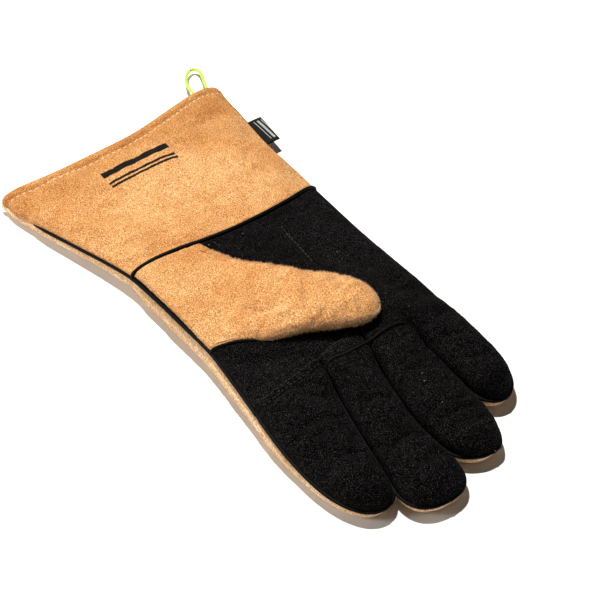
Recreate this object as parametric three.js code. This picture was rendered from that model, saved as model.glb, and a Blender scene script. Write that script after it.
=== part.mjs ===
// Heat resistant gauntlet glove, right hand, lying palm up.
// +X runs from the cuff mouth to the fingertips, +Y to the little-finger side, +Z up.
// The origin is under the middle of the glove. Every piece is a sewn panel, a welt, a lining
// stall, the hanging loop or the label tab. Touching pieces keep a small sewing gap.
import * as THREE from 'three';

// ---- driving dimensions (mm) ----
const ORIGIN_X = 54.95;         // the wrist seam lies this far behind the origin
const ORIGIN_Y = 0.895;
const LEATHER = 2.0;            // suede panel thickness
const LINING_FROM = 2.3;        // lining starts below the leather
const LINING_TO = 4.6;
const SEAM_GAP = 1.2;           // panel edge to the seam plane
const WELT_HALF = 0.9;          // half height of a welt
const WELT_PROUD = 0.9;
const WELT_DEEP = 1.9;
const CUFF_END = -129.5;        // cuff mouth
const CUFF_TOP = -1.7;          // cuff edge at the wrist seam
const HAND_FROM = 1.7;
const HAND_TO = 131.2;          // finger crotches
const FINGER_FROM = 132.8;
const THUMB_HOLE_FROM = 28, THUMB_HOLE_TO = 86;
const LOOP_DIAMETER = 2.3;
const LABEL = { from: -92, to: -66, out: 9.8, thick: 1.5 };

// station tables, wrist seam at X = 0: X, thumb-side edge, little-side edge, seam height, top
const BODY = [
  [-130, -92, 86, 8, 23], [-95, -88, 83, 9.5, 24], [-50, -74, 80.5, 12, 25], [0, -65, 80, 15.5, 27],
  [45, -61, 80, 17, 27.5], [80, -60.5, 81, 17, 27.5], [120, -65, 82, 15, 27], [133, -66, 82, 14, 26],
];
// fingers: tip X, then base and tip values of both edges
const FINGERS = {
  index: { tip: 221.5, l: [-66, -62.5], r: [-15.2, -31.5] },
  middle: { tip: 239, l: [-13.4, -29.8], r: [19.2, 9.8] },
  ring: { tip: 226.8, l: [21, 11.6], r: [48.4, 48.6] },
  little: { tip: 200.8, l: [50.2, 50.4], r: [82, 80.5] },
};
const FINGER_Z = { seam: [13.5, 9.5], top: [26, 20] };
const TIP_ROUND = 21;
// thumb: upper edge, lower edge, seam height, top, underside, from the side seam to the tip.
// Row 0 is the side seam, row 1 the fold line where the free thumb starts.
const THUMB = [
  [2, -60, 73, -60.5, 21, 25, 21], [5, -22, 77.5, -57, 28.8, 36, 28.5], [31, -11, 90, -36, 32.5, 41, 28.5],
  [57, 7.4, 101, -22, 35, 42.5, 28.5], [78, 26, 113.5, 3, 35.5, 42, 28.7], [92, 37, 120.5, 18, 35.5, 41, 29.3],
];
const THUMB_TIP = [112, 38.5, 35.5];

const TAN = { color: 0xdca066, roughness: 0.95, metalness: 0 };
const BLACK = { color: 0x1b1817, roughness: 0.95, metalness: 0 };
const WELT = { color: 0x0c0a0a, roughness: 0.55, metalness: 0 };
const LINEN = { color: 0xcfc6b4, roughness: 1, metalness: 0 };
const LIME = { color: 0xb4d22c, roughness: 0.6, metalness: 0 };
const TAB = { color: 0x121214, roughness: 0.8, metalness: 0 };

const glove = new THREE.Group();
const lerp = (a, b, t) => a + (b - a) * t;
const spow = (v, p) => Math.sign(v) * Math.pow(Math.abs(v), p);

function table(rows, x, col) {
  if (x <= rows[0][0]) return rows[0][col];
  for (let i = 1; i < rows.length; i++) {
    if (x <= rows[i][0]) return lerp(rows[i - 1][col], rows[i][col], (x - rows[i - 1][0]) / (rows[i][0] - rows[i - 1][0]));
  }
  return rows[rows.length - 1][col];
}

// A curved slab: two grids of points, outer and inner, over the cells that are kept, closed along
// every free edge. Coincident points are merged, so a row may shrink to a point.
function slab(name, us, ss, outer, inner, look, { ring = false, keep = () => true } = {}) {
  const nu = us.length, ns = ss.length;
  const pts = [], index = new Map();
  const id = (p) => {
    const k = p.map((v) => Math.round(v * 500)).join(',');
    if (!index.has(k)) { index.set(k, pts.length); pts.push(p); }
    return index.get(k);
  };
  const cu = ring ? nu : nu - 1;
  const O = [], I = [];
  for (let i = 0; i < nu; i++) {
    O.push([]); I.push([]);
    for (let j = 0; j < ns; j++) { O[i].push(id(outer(us[i], ss[j]))); I[i].push(id(inner(us[i], ss[j]))); }
  }
  const tris = [];
  const tri = (a, b, c) => { if (a !== b && b !== c && a !== c) tris.push(a, b, c); };
  const quad = (a, b, c, d) => { tri(a, b, c); tri(a, c, d); };
  const on = (i, j) => {
    if (j < 0 || j >= ns - 1) return false;
    if (ring) i = (i + cu) % cu; else if (i < 0 || i >= cu) return false;
    return keep(i, j, us[i], ss[j]);
  };
  for (let i = 0; i < cu; i++) for (let j = 0; j < ns - 1; j++) {
    if (!on(i, j)) continue;
    const k = (i + 1) % nu;
    quad(O[i][j], O[i][j + 1], O[k][j + 1], O[k][j]);
    quad(I[i][j], I[k][j], I[k][j + 1], I[i][j + 1]);
    if (!on(i - 1, j)) quad(O[i][j], I[i][j], I[i][j + 1], O[i][j + 1]);
    if (!on(i + 1, j)) quad(O[k][j], O[k][j + 1], I[k][j + 1], I[k][j]);
    if (!on(i, j - 1)) quad(O[i][j], O[k][j], I[k][j], I[i][j]);
    if (!on(i, j + 1)) quad(O[i][j + 1], I[i][j + 1], I[k][j + 1], O[k][j + 1]);
  }
  // outward faces: a closed body has positive volume
  let vol = 0;
  for (let t = 0; t < tris.length; t += 3) {
    const [a, b, c] = [pts[tris[t]], pts[tris[t + 1]], pts[tris[t + 2]]];
    vol += a[0] * (b[1] * c[2] - b[2] * c[1]) - a[1] * (b[0] * c[2] - b[2] * c[0]) + a[2] * (b[0] * c[1] - b[1] * c[0]);
  }
  if (vol < 0) for (let t = 0; t < tris.length; t += 3) [tris[t + 1], tris[t + 2]] = [tris[t + 2], tris[t + 1]];
  const g = new THREE.BufferGeometry();
  g.setAttribute('position', new THREE.Float32BufferAttribute(pts.flat(), 3));
  g.setIndex(tris);
  addMesh(name, g, look);
}

function addMesh(name, g, look) {
  const m = new THREE.Mesh(g, new THREE.MeshStandardMaterial(look));
  m.name = name;
  m.position.set(-ORIGIN_X, -ORIGIN_Y, 0);
  glove.add(m);
}

const range = (a, b, n) => Array.from({ length: n + 1 }, (_, i) => lerp(a, b, i / n));
const HALF = [0, 0.05, 0.14, 0.27, 0.42, 0.58, 0.73, 0.86, 0.95, 1];
const HALF_SMALL = [0, 0.1, 0.28, 0.5, 0.72, 0.9, 1];

// ---- section of a tube: c = {yc, a, zs, hf, hb, r}; part F is the palm side, B the back ----
function point(c, x, part, v, t, g) {
  const f = Math.PI * v;
  const a = Math.max(c.a - t, 0.5) * c.r;
  if (part === 'F') {
    const h = Math.max(c.hf - t - g, 0.4) * c.rh;
    return [x, c.yc - a * spow(Math.cos(f), 2 / 2.4), c.zs + g + h * Math.pow(Math.max(Math.sin(f), 0), 2 / 2.4)];
  }
  const h = Math.max(c.hb - t - g, 0.4) * c.rh;
  const s = Math.min(1, 1.12 * Math.pow(Math.max(Math.sin(f), 0), 2 / 3.2));
  return [x, c.yc - a * spow(Math.cos(f), 2 / 3.2), c.zs - g - h * s];
}
function bodySection(x) {
  const l = table(BODY, x, 1), r = table(BODY, x, 2), zs = table(BODY, x, 3), zt = table(BODY, x, 4);
  return { yc: (l + r) / 2, a: (r - l) / 2, zs, hf: zt - zs, hb: zs, r: 1, rh: 1 };
}
function fingerSection(f, s, t) {
  const tip = f.tip - t, x = lerp(FINGER_FROM, tip, s);
  const q = (x - FINGER_FROM) / (f.tip - FINGER_FROM);
  const l = lerp(f.l[0], f.l[1], q), r = lerp(f.r[0], f.r[1], q);
  const zs = lerp(FINGER_Z.seam[0], FINGER_Z.seam[1], q), zt = lerp(FINGER_Z.top[0], FINGER_Z.top[1], q);
  const from = f.tip - TIP_ROUND, k = Math.max(0, (x - from) / (tip - from));
  const rr = Math.sqrt(Math.max(0, 1 - k ** 2.3));
  return { x, c: { yc: (l + r) / 2, a: (r - l) / 2, zs, hf: zt - zs, hb: zs, r: rr, rh: Math.pow(rr, 0.7) } };
}
const bodyPoint = (part, t, g) => (v, x) => point(bodySection(x), x, part, v, t, g);
const ringPoint = (fn) => (v, s) => (v < 0.5 ? fn('F', v * 2, s) : fn('B', 1 - (v - 0.5) * 2, s));
const fingerPoint = (f, part, t, g) => (v, s) => { const { x, c } = fingerSection(f, s, t); return point(c, x, part, v, t, g); };
const bodyRing = (t) => ringPoint((part, v, x) => point(bodySection(x), x, part, v, t, 0));
const fingerRing = (f, t) => ringPoint((part, v, s) => { const { x, c } = fingerSection(f, s, t); return point(c, x, part, v, t, 0); });
const RING = [...HALF.slice(0, -1).map((v) => v / 2), ...HALF.slice(0, -1).map((v) => 0.5 + v / 2)];
const RING_SMALL = [...HALF_SMALL.slice(0, -1).map((v) => v / 2), ...HALF_SMALL.slice(0, -1).map((v) => 0.5 + v / 2)];

// ---- cuff ----
const CUFF_X = [CUFF_END, -95, -50, -20, CUFF_TOP];
slab('cuff_front', HALF, CUFF_X, bodyPoint('F', 0, SEAM_GAP), bodyPoint('F', LEATHER, SEAM_GAP), TAN);
slab('cuff_back', HALF, CUFF_X, bodyPoint('B', 0, SEAM_GAP), bodyPoint('B', LEATHER, SEAM_GAP), TAN);
slab('cuff_lining', RING, CUFF_X, bodyRing(LINING_FROM), bodyRing(LINING_TO - 0.8), LINEN, { ring: true });

// ---- hand: the palm side is cut around the root of the thumb ----
const HAND_X = [HAND_FROM, THUMB_HOLE_FROM, 57, THUMB_HOLE_TO, 110, HAND_TO];
const THUMB_V = 0.30;           // the palm panel starts here, counted from the thumb-side seam
const PALM_V = [THUMB_V + 0.004, 0.42, 0.58, 0.73, 0.86, 0.95, 1];
const SIDE_V = [0, 0.05, 0.14, 0.22, THUMB_V];
slab('palm_front', PALM_V, HAND_X, bodyPoint('F', 0, SEAM_GAP), bodyPoint('F', LEATHER, SEAM_GAP), BLACK);
slab('palm_patch', SIDE_V, [THUMB_HOLE_TO, 110, HAND_TO], bodyPoint('F', 0, SEAM_GAP), bodyPoint('F', LEATHER, SEAM_GAP), BLACK);
slab('hand_back', HALF, HAND_X, bodyPoint('B', 0, SEAM_GAP), bodyPoint('B', LEATHER, SEAM_GAP), TAN);
const LINING_RING = [0, 0.025, 0.07, THUMB_V / 2, 0.21, 0.29, 0.365, 0.43, 0.475, ...HALF.slice(0, -1).map((v) => 0.5 + v / 2)];
slab('palm_lining', LINING_RING, HAND_X, bodyRing(LINING_FROM), bodyRing(LINING_TO), LINEN,
  { ring: true, keep: (i, j) => !(i < 3 && (j === 1 || j === 2)) });

// ---- welts: narrow bars along the seam ----
function sideWelt(name, side, xs) {
  const at = (d) => (v, x) => {
    const c = bodySection(x);
    return [x, c.yc + side * (c.a + d), c.zs + WELT_HALF * (2 * v - 1)];
  };
  slab(name, [0, 1], xs, at(WELT_PROUD), at(-WELT_DEEP), WELT);
}
sideWelt('cuff_welt_thumb_side', -1, CUFF_X);
sideWelt('cuff_welt_little_side', 1, CUFF_X);
sideWelt('hand_welt_thumb_side', -1, HAND_X);
sideWelt('hand_welt_little_side', 1, HAND_X);
slab('wrist_welt', HALF, [-1.3, 1.3], bodyPoint('F', -WELT_PROUD, SEAM_GAP), bodyPoint('F', LEATHER, SEAM_GAP), WELT);

// ---- fingers ----
const FINGER_S = [0, 0.35, 0.62, 0.78, 0.88, 0.95, 0.985, 1];
for (const [name, f] of Object.entries(FINGERS)) {
  slab(`${name}_front`, HALF_SMALL, FINGER_S, fingerPoint(f, 'F', 0, SEAM_GAP), fingerPoint(f, 'F', LEATHER, SEAM_GAP), BLACK);
  slab(`${name}_back`, HALF_SMALL, FINGER_S, fingerPoint(f, 'B', 0, SEAM_GAP), fingerPoint(f, 'B', LEATHER, SEAM_GAP), TAN);
  slab(`${name}_lining`, RING_SMALL, FINGER_S, fingerRing(f, LINING_FROM), fingerRing(f, LINING_TO), LINEN, { ring: true });
  // the welt runs up one side, round the tip and back
  const rim = [];
  const half = FINGER_S.slice(0, -1);
  const edge = (s, side, d) => {
    const { x, c } = fingerSection(f, s, -d);
    return [x, c.yc + side * Math.max((c.a + d) * c.r, 0.01), c.zs];
  };
  const stations = [...half.map((s) => [s, -1]), [1, 0], ...[...half].reverse().map((s) => [s, 1])];
  const at = (d) => (v, k) => {
    const [s, side] = stations[k];
    const p = side === 0 ? [f.tip + d, (f.l[1] + f.r[1]) / 2, FINGER_Z.seam[1]] : edge(s, side, d);
    return [p[0], p[1], p[2] + WELT_HALF * (2 * v - 1)];
  };
  slab(`${name}_welt`, [0, 1], stations.map((_, k) => k), at(0.4), at(-WELT_DEEP), WELT);
}

// ---- thumb, folded across the palm ----
function thumbSection(s, t) {
  const n = THUMB.length - 1, k = Math.min(n, Math.floor(s)), e = s - k;
  const A = THUMB[k], B = k < n ? THUMB[k + 1] : THUMB[n];
  return A.map((v, i) => lerp(v, B[i], e));
}
function thumbPoint(part, t, g) {
  return (v, s) => {
    if (s > THUMB.length - 1) {
      const e = s - (THUMB.length - 1);                     // 0..1 towards the tip
      const L = thumbSection(THUMB.length - 1, t);
      const cx = (L[0] + L[2]) / 2, cy = (L[1] + L[3]) / 2;
      const r = Math.sqrt(Math.max(0, 1 - e * e));
      const reach = 1 - t / 20;
      const bx = cx + (THUMB_TIP[0] - cx) * e * reach, by = cy + (THUMB_TIP[1] - cy) * e * reach;
      return thumbAt(L, bx - cx, by - cy, part, v, t, g, r);
    }
    return thumbAt(thumbSection(s, t), 0, 0, part, v, t, g, 1);
  };
}
function thumbAt(L, dx, dy, part, v, t, g, r) {
  const [ux, uy, lx, ly, zs, zt, zb] = L;
  const w = Math.hypot(lx - ux, ly - uy), cx = (ux + lx) / 2 + dx, cy = (uy + ly) / 2 + dy;
  const ex = (lx - ux) / w, ey = (ly - uy) / w;
  const f = Math.PI * v, q = -spow(Math.cos(f), 2 / 2.4) * (w / 2 - t) * r;
  const hgt = part === 'F' ? zt - zs : zs - zb;
  const h = Math.max(hgt - t - g, 0.35) * (r ** 0.7) * Math.pow(Math.max(Math.sin(f), 0), 2 / 2.4);
  const z = part === 'F' ? zs + g + h : zs - g - h;
  return [cx + ex * q, cy + ey * q, z];
}
slab('thumb_base', HALF_SMALL, [0, 0.35, 0.7, 0.965], thumbPoint('F', 0, SEAM_GAP), thumbPoint('F', LEATHER, SEAM_GAP), TAN);
const THUMB_S = [1, 1.4, 2, 3, 4, 5, 5.35, 5.65, 5.86, 5.97, 6];
slab('thumb_back', HALF_SMALL, THUMB_S, thumbPoint('F', 0, SEAM_GAP), thumbPoint('F', LEATHER, SEAM_GAP), TAN);
const GRIP_S = THUMB_S.filter((s) => s >= 2);
slab('thumb_grip', HALF_SMALL, GRIP_S, thumbPoint('B', 0, SEAM_GAP), thumbPoint('B', 1.6, SEAM_GAP), BLACK);
const thumbRing = (t) => (v, s) => (v < 0.5 ? thumbPoint('F', t, 0)(v * 2, s) : thumbPoint('B', t * 0.8, 0)(1 - (v - 0.5) * 2, s));
slab('thumb_lining', RING_SMALL, GRIP_S, thumbRing(LINING_FROM), thumbRing(LINING_FROM + 1.3), LINEN, { ring: true });
{
  const sides = GRIP_S.slice(0, -1);
  const stations = [...sides.map((s) => [s, 0]), [6, 0], ...[...sides].reverse().map((s) => [s, 1])];
  const at = (t) => (v, k) => {
    const [s, side] = stations[k];
    const p = thumbPoint('F', t, 0)(side, s);
    const zs = s > 5 ? THUMB[5][4] : thumbSection(s, 0)[4];
    return [p[0], p[1], zs + WELT_HALF * (2 * v - 1)];
  };
  slab('thumb_welt', [0, 1], stations.map((_, k) => k), at(-0.6), at(1.2), WELT);
}

// ---- hanging loop: a cord that leaves the cuff mouth beside the little-finger-side seam ----
{
  const route = [[-130.6, 69.5, 11], [-137, 70.2, 10], [-146, 71.8, 7.2], [-155, 75, 4.2], [-162.5, 79.5, 2.4], [-167, 84.5, 1.6],
    [-167.5, 88.6, 1.5], [-163.5, 90, 1.6], [-157, 88.2, 2.4], [-149, 84.8, 4.4], [-140, 81.2, 7.4], [-130.6, 78.6, 9.2]]
    .map((p) => new THREE.Vector3(...p));
  const curve = new THREE.CatmullRomCurve3(route, false, 'centripetal');
  const shape = new THREE.Shape();
  for (let i = 0; i < 8; i++) {
    const a = (i / 8) * Math.PI * 2, x = Math.cos(a) * LOOP_DIAMETER / 2, y = Math.sin(a) * LOOP_DIAMETER / 2;
    if (i === 0) shape.moveTo(x, y); else shape.lineTo(x, y);
  }
  shape.closePath();
  addMesh('hanging_loop', new THREE.ExtrudeGeometry(shape, { steps: 32, extrudePath: curve, curveSegments: 8 }), LIME);
}

// ---- label tab in the little-finger-side cuff seam ----
{
  const at = (t) => (v, x) => {
    const c = bodySection(x);
    return [x, c.yc + c.a + WELT_PROUD + 1.1 + LABEL.out * v, c.zs + LABEL.thick * (0.5 - t)];
  };
  slab('label_tab', [0, 0.5, 1], [LABEL.from, (LABEL.from + LABEL.to) / 2, LABEL.to], at(0), at(1), TAB);
}

export default glove;
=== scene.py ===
import math

import bmesh
import bpy
import numpy as np
from mathutils import Matrix, Vector


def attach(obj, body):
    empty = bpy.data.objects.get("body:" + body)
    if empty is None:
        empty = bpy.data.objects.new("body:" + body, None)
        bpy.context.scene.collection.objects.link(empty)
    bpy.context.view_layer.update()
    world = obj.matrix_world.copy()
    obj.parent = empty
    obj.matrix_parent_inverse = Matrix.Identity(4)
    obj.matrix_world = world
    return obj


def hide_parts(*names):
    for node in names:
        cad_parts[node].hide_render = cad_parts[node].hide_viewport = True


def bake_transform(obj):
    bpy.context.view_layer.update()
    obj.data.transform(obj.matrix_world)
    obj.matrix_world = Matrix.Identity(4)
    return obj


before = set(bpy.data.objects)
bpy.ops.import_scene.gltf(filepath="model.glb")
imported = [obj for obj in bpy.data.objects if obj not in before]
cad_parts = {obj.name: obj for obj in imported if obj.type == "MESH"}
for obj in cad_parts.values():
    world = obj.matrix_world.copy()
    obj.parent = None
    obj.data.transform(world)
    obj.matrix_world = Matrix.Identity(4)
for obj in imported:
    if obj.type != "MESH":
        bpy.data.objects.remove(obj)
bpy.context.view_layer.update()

OX, OY = 54.95, 0.895           # wrist seam frame (mm) to row frame


def W(p):
    """Wrist-seam millimetres to row metres."""
    p = np.asarray(p, float)
    return (p - np.array([OX, OY, 0.0])) / 1000.0


# ------------------------------------------------------------------ camera
def make_camera():
    e, a = math.radians(46.5), math.radians(54.0)
    right = Vector((math.cos(a), math.sin(a), 0))
    away = Vector((-math.sin(a), math.cos(a), 0))
    fwd = away * math.cos(e) + Vector((0, 0, -math.sin(e)))
    up = away * math.sin(e) + Vector((0, 0, math.cos(e)))
    cam = bpy.data.objects.new("camera", bpy.data.cameras.new("camera"))
    bpy.context.scene.collection.objects.link(cam)
    cam.data.lens, cam.data.sensor_width = 100.0, 36.0
    cam.data.clip_start, cam.data.clip_end = 0.05, 20.0
    m = Matrix((right, up, -fwd)).transposed().to_4x4()
    m.translation = Vector(W((641.79, -405.27, 760.35)))
    cam.matrix_world = m
    bpy.context.scene.camera = cam


make_camera()


def link(o):
    bpy.context.scene.collection.objects.link(o)
    return o


# ------------------------------------------------------------------ materials
def new_mat(name):
    m = bpy.data.materials.new(name)
    m.use_nodes = True
    nt = m.node_tree
    b = nt.nodes["Principled BSDF"]
    return m, nt, b


def srgb(r, g, b):
    f = lambda c: (c / 12.92) if c <= 0.04045 else ((c + 0.055) / 1.055) ** 2.4
    return (f(r / 255), f(g / 255), f(b / 255), 1.0)


def noise(nt, coord, scale, detail=4.0, rough=0.6, dist=0.0, stretch=None):
    n = nt.nodes.new("ShaderNodeTexNoise")
    n.inputs["Scale"].default_value = scale
    n.inputs["Detail"].default_value = detail
    n.inputs["Roughness"].default_value = rough
    n.inputs["Distortion"].default_value = dist
    if stretch:
        mp = nt.nodes.new("ShaderNodeMapping")
        mp.inputs["Scale"].default_value = stretch
        nt.links.new(coord, mp.inputs["Vector"])
        nt.links.new(mp.outputs["Vector"], n.inputs["Vector"])
    else:
        nt.links.new(coord, n.inputs["Vector"])
    return n.outputs["Fac"]


def ramp(nt, fac, stops):
    r = nt.nodes.new("ShaderNodeValToRGB")
    el = r.color_ramp.elements
    while len(el) > 1:
        el.remove(el[-1])
    el[0].position, el[0].color = stops[0]
    for pos, col in stops[1:]:
        e = el.new(pos)
        e.color = col
    nt.links.new(fac, r.inputs["Fac"])
    return r.outputs["Color"]


def mix(nt, a, b, fac, mode="MIX"):
    m = nt.nodes.new("ShaderNodeMix")
    m.data_type, m.blend_type = "RGBA", mode
    for sock, v in ((m.inputs[6], a), (m.inputs[7], b), (m.inputs[0], fac)):
        if hasattr(v, "is_output"):
            nt.links.new(v, sock)
        elif isinstance(v, (int, float)):
            sock.default_value = v
        else:
            sock.default_value = v
    return m.outputs[2]


def math_node(nt, op, a, b=None, c=None):
    m = nt.nodes.new("ShaderNodeMath")
    m.operation = op
    for i, v in enumerate((a, b, c)):
        if v is None:
            continue
        if hasattr(v, "is_output"):
            nt.links.new(v, m.inputs[i])
        else:
            m.inputs[i].default_value = v
    return m.outputs[0]


def bump(nt, bsdf, height, dist, strength=1.0, normal=None):
    b = nt.nodes.new("ShaderNodeBump")
    b.inputs["Strength"].default_value = strength
    b.inputs["Distance"].default_value = dist
    nt.links.new(height, b.inputs["Height"])
    if normal is not None:
        nt.links.new(normal, b.inputs["Normal"])
    nt.links.new(b.outputs["Normal"], bsdf.inputs["Normal"])
    return b.outputs["Normal"]


def suede(name, dark, mid, light, blotch, grain=1.0, sheen=0.35, sheen_tint=(1, 1, 1, 1), bump_mm=0.28, speck=None, spec=0.12,
          stops=(0.38, 0.50, 0.62), marks=None):
    m, nt, b = new_mat(name)
    co = nt.nodes.new("ShaderNodeTexCoord").outputs["Object"]
    big = noise(nt, co, 20.0, 5.0, 0.62, 0.5)          # blotches, 4 to 5 cm
    brush = noise(nt, co, 1.0, 3.0, 0.6, 0.3, stretch=(70.0, 22.0, 40.0))   # brushed streaks
    mid_n = noise(nt, co, 120.0, 4.0, 0.6, 0.3)        # nap brushed in patches
    fine = noise(nt, co, 1150.0 * grain, 3.0, 0.75)    # nap tufts, under 1 mm
    tiny = noise(nt, co, 2600.0 * grain, 2.0, 0.7)     # fibres
    f1 = math_node(nt, "MULTIPLY_ADD", fine, 0.62, math_node(nt, "MULTIPLY", tiny, 0.38))
    base = ramp(nt, f1, [(stops[0], dark), (stops[1], mid), (stops[2], light)])
    bl = ramp(nt, big, [(0.36, blotch), (0.58, (1, 1, 1, 1)), (0.70, (1.03, 1.04, 1.08, 1))])
    base = mix(nt, base, bl, 0.9, "MULTIPLY")
    md = ramp(nt, mid_n, [(0.30, (0.80, 0.78, 0.76, 1)), (0.55, (1, 1, 1, 1)), (0.75, (1.0, 1.0, 1.0, 1))])
    base = mix(nt, base, md, 0.55, "MULTIPLY")
    bs = ramp(nt, brush, [(0.34, (0.84, 0.76, 0.66, 1)), (0.54, (1, 1, 1, 1)), (0.68, (1.0, 1.0, 1.0, 1))])
    base = mix(nt, base, bs, 0.6, "MULTIPLY")
    if speck:
        v = nt.nodes.new("ShaderNodeTexVoronoi")
        v.inputs["Scale"].default_value = 170.0
        v.inputs["Randomness"].default_value = 1.0
        nt.links.new(co, v.inputs["Vector"])
        dot = ramp(nt, v.outputs["Distance"], [(0.05, (1, 1, 1, 1)), (0.09, (0, 0, 0, 1))])
        gate = ramp(nt, noise(nt, co, 95.0, 2.0), [(0.60, (0, 0, 0, 1)), (0.64, (1, 1, 1, 1))])
        base = mix(nt, base, speck, math_node(nt, "MULTIPLY", dot, gate))
    if marks:
        base = marks(nt, co, base, fine)
    nt.links.new(base, b.inputs["Base Color"])
    b.inputs["Roughness"].default_value = 0.92
    b.inputs["Specular IOR Level"].default_value = spec
    b.inputs["Sheen Weight"].default_value = sheen
    b.inputs["Sheen Roughness"].default_value = 0.45
    b.inputs["Sheen Tint"].default_value = sheen_tint
    h = math_node(nt, "MULTIPLY_ADD", fine, 1.0, math_node(nt, "MULTIPLY", tiny, 0.55))
    h = math_node(nt, "MULTIPLY_ADD", mid_n, 0.7, h)
    bump(nt, b, h, bump_mm / 1000.0, 0.9)
    return m


def cuff_marks(nt, co, base, fine):
    """Two plain printed bars near the mouth, and the cuff turning darker and more orange towards the mouth, in clouds.
    """
    sep = nt.nodes.new("ShaderNodeSeparateXYZ")
    nt.links.new(co, sep.inputs[0])
    x, y = sep.outputs[0], sep.outputs[1]
    wob = math_node(nt, "MULTIPLY_ADD", fine, 0.0008, -0.0004)
    ink = None
    for xc, hw in ((-0.1462, 0.0026), (-0.1372, 0.0011), (-0.1335, 0.0011)):
        dx = math_node(nt, "ABSOLUTE", math_node(nt, "SUBTRACT", x, xc))
        dy = math_node(nt, "ABSOLUTE", math_node(nt, "SUBTRACT", y, -0.0085))
        a = math_node(nt, "SUBTRACT", math_node(nt, "ADD", dx, wob), hw)
        c = math_node(nt, "SUBTRACT", math_node(nt, "ADD", dy, wob), 0.0255)
        d = math_node(nt, "MAXIMUM", a, c)
        k = nt.nodes.new("ShaderNodeMapRange")
        k.interpolation_type = "SMOOTHSTEP"
        k.inputs["From Min"].default_value = 0.00022
        k.inputs["From Max"].default_value = -0.00022
        nt.links.new(d, k.inputs["Value"])
        ink = k.outputs[0] if ink is None else math_node(nt, "MAXIMUM", ink, k.outputs[0])
    # darker and more orange towards the mouth, broken up into clouds
    hem = nt.nodes.new("ShaderNodeMapRange")
    hem.interpolation_type = "SMOOTHSTEP"
    hem.inputs["From Min"].default_value = -0.118
    hem.inputs["From Max"].default_value = -0.170
    hem.inputs["To Max"].default_value = 1.0
    nt.links.new(x, hem.inputs["Value"])
    cloud = ramp(nt, noise(nt, co, 21.0, 4.0, 0.6, 0.5), [(0.38, (0.35, 0.35, 0.35, 1)), (0.62, (1, 1, 1, 1))])
    dark = mix(nt, base, (0.72, 0.585, 0.40, 1), 1.0, "MULTIPLY")
    base = mix(nt, base, dark, math_node(nt, "MULTIPLY", hem.outputs[0], cloud))
    return mix(nt, base, srgb(5, 3, 3), ink)


def thumb_painted_highlight(nt, co, base, fine):
    """Painted highlight: up to a fifth paler towards the tip of the thumb, a correction for these two lamps, not a
    mark seen on the leather.
    """
    sep = nt.nodes.new("ShaderNodeSeparateXYZ")
    nt.links.new(co, sep.inputs[0])
    k = nt.nodes.new("ShaderNodeMapRange")
    k.interpolation_type = "SMOOTHSTEP"
    k.inputs["From Min"].default_value = 0.008
    k.inputs["From Max"].default_value = 0.056
    k.inputs["To Max"].default_value = 1.0
    nt.links.new(sep.outputs[0], k.inputs["Value"])
    pale = mix(nt, base, (1.17, 1.20, 1.26, 1), 1.0, "MULTIPLY")
    low = nt.nodes.new("ShaderNodeVectorMath")
    low.operation = "MINIMUM"
    low.inputs[1].default_value = (0.94, 0.90, 0.80)
    nt.links.new(pale, low.inputs[0])
    return mix(nt, base, low.outputs[0], k.outputs[0])


T_DARK, T_MID, T_LIGHT = srgb(104, 50, 16), srgb(222, 153, 83), srgb(255, 232, 182)
T_KW = dict(grain=1.25, sheen=0.12, sheen_tint=(1.0, 0.86, 0.70, 1), bump_mm=0.75, stops=(0.39, 0.50, 0.61))
TAN = suede("tan_suede", T_DARK, T_MID, T_LIGHT, (0.84, 0.72, 0.58, 1), **T_KW)
TAN_CUFF = suede("tan_suede_printed", T_DARK, T_MID, T_LIGHT, (0.84, 0.72, 0.58, 1), marks=cuff_marks, **T_KW)
# the thumb's tan carries a painted highlight, paler towards its tip
TAN_THUMB = suede("tan_suede_thumb", T_DARK, T_MID, T_LIGHT, (0.84, 0.72, 0.58, 1), marks=thumb_painted_highlight, **T_KW)
# side walls and underside: a paler tan, partly its raised nap and partly painted light that brightens the side strips
TAN_EDGE = suede("tan_suede_nap_painted_light", srgb(160, 108, 66), srgb(240, 195, 146), srgb(255, 244, 214), (0.90, 0.82, 0.70, 1),
                 grain=0.8, sheen=0.2, sheen_tint=(1.0, 0.9, 0.78, 1), bump_mm=0.8)
BLACK = suede("black_suede", srgb(0, 0, 0), srgb(3, 3, 3), srgb(92, 89, 88), (0.6, 0.6, 0.62, 1),
              grain=1.3, sheen=0.01, sheen_tint=(0.9, 0.9, 0.95, 1), bump_mm=1.0, speck=srgb(112, 110, 108), spec=0.018, stops=(0.44, 0.53, 0.66))


def welt_material():
    m, nt, b = new_mat("welt_leather")
    co = nt.nodes.new("ShaderNodeTexCoord").outputs["Object"]
    n = noise(nt, co, 900.0, 3.0, 0.6)
    nt.links.new(ramp(nt, n, [(0.3, srgb(4, 4, 4)), (0.75, srgb(14, 13, 13))]), b.inputs["Base Color"])
    nt.links.new(ramp(nt, n, [(0.2, (0.42, 0.42, 0.42, 1)), (0.8, (0.66, 0.66, 0.66, 1))]), b.inputs["Roughness"])
    b.inputs["Specular IOR Level"].default_value = 0.06
    bump(nt, b, n, 0.00012, 0.7)
    return m


WELT = welt_material()


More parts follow.
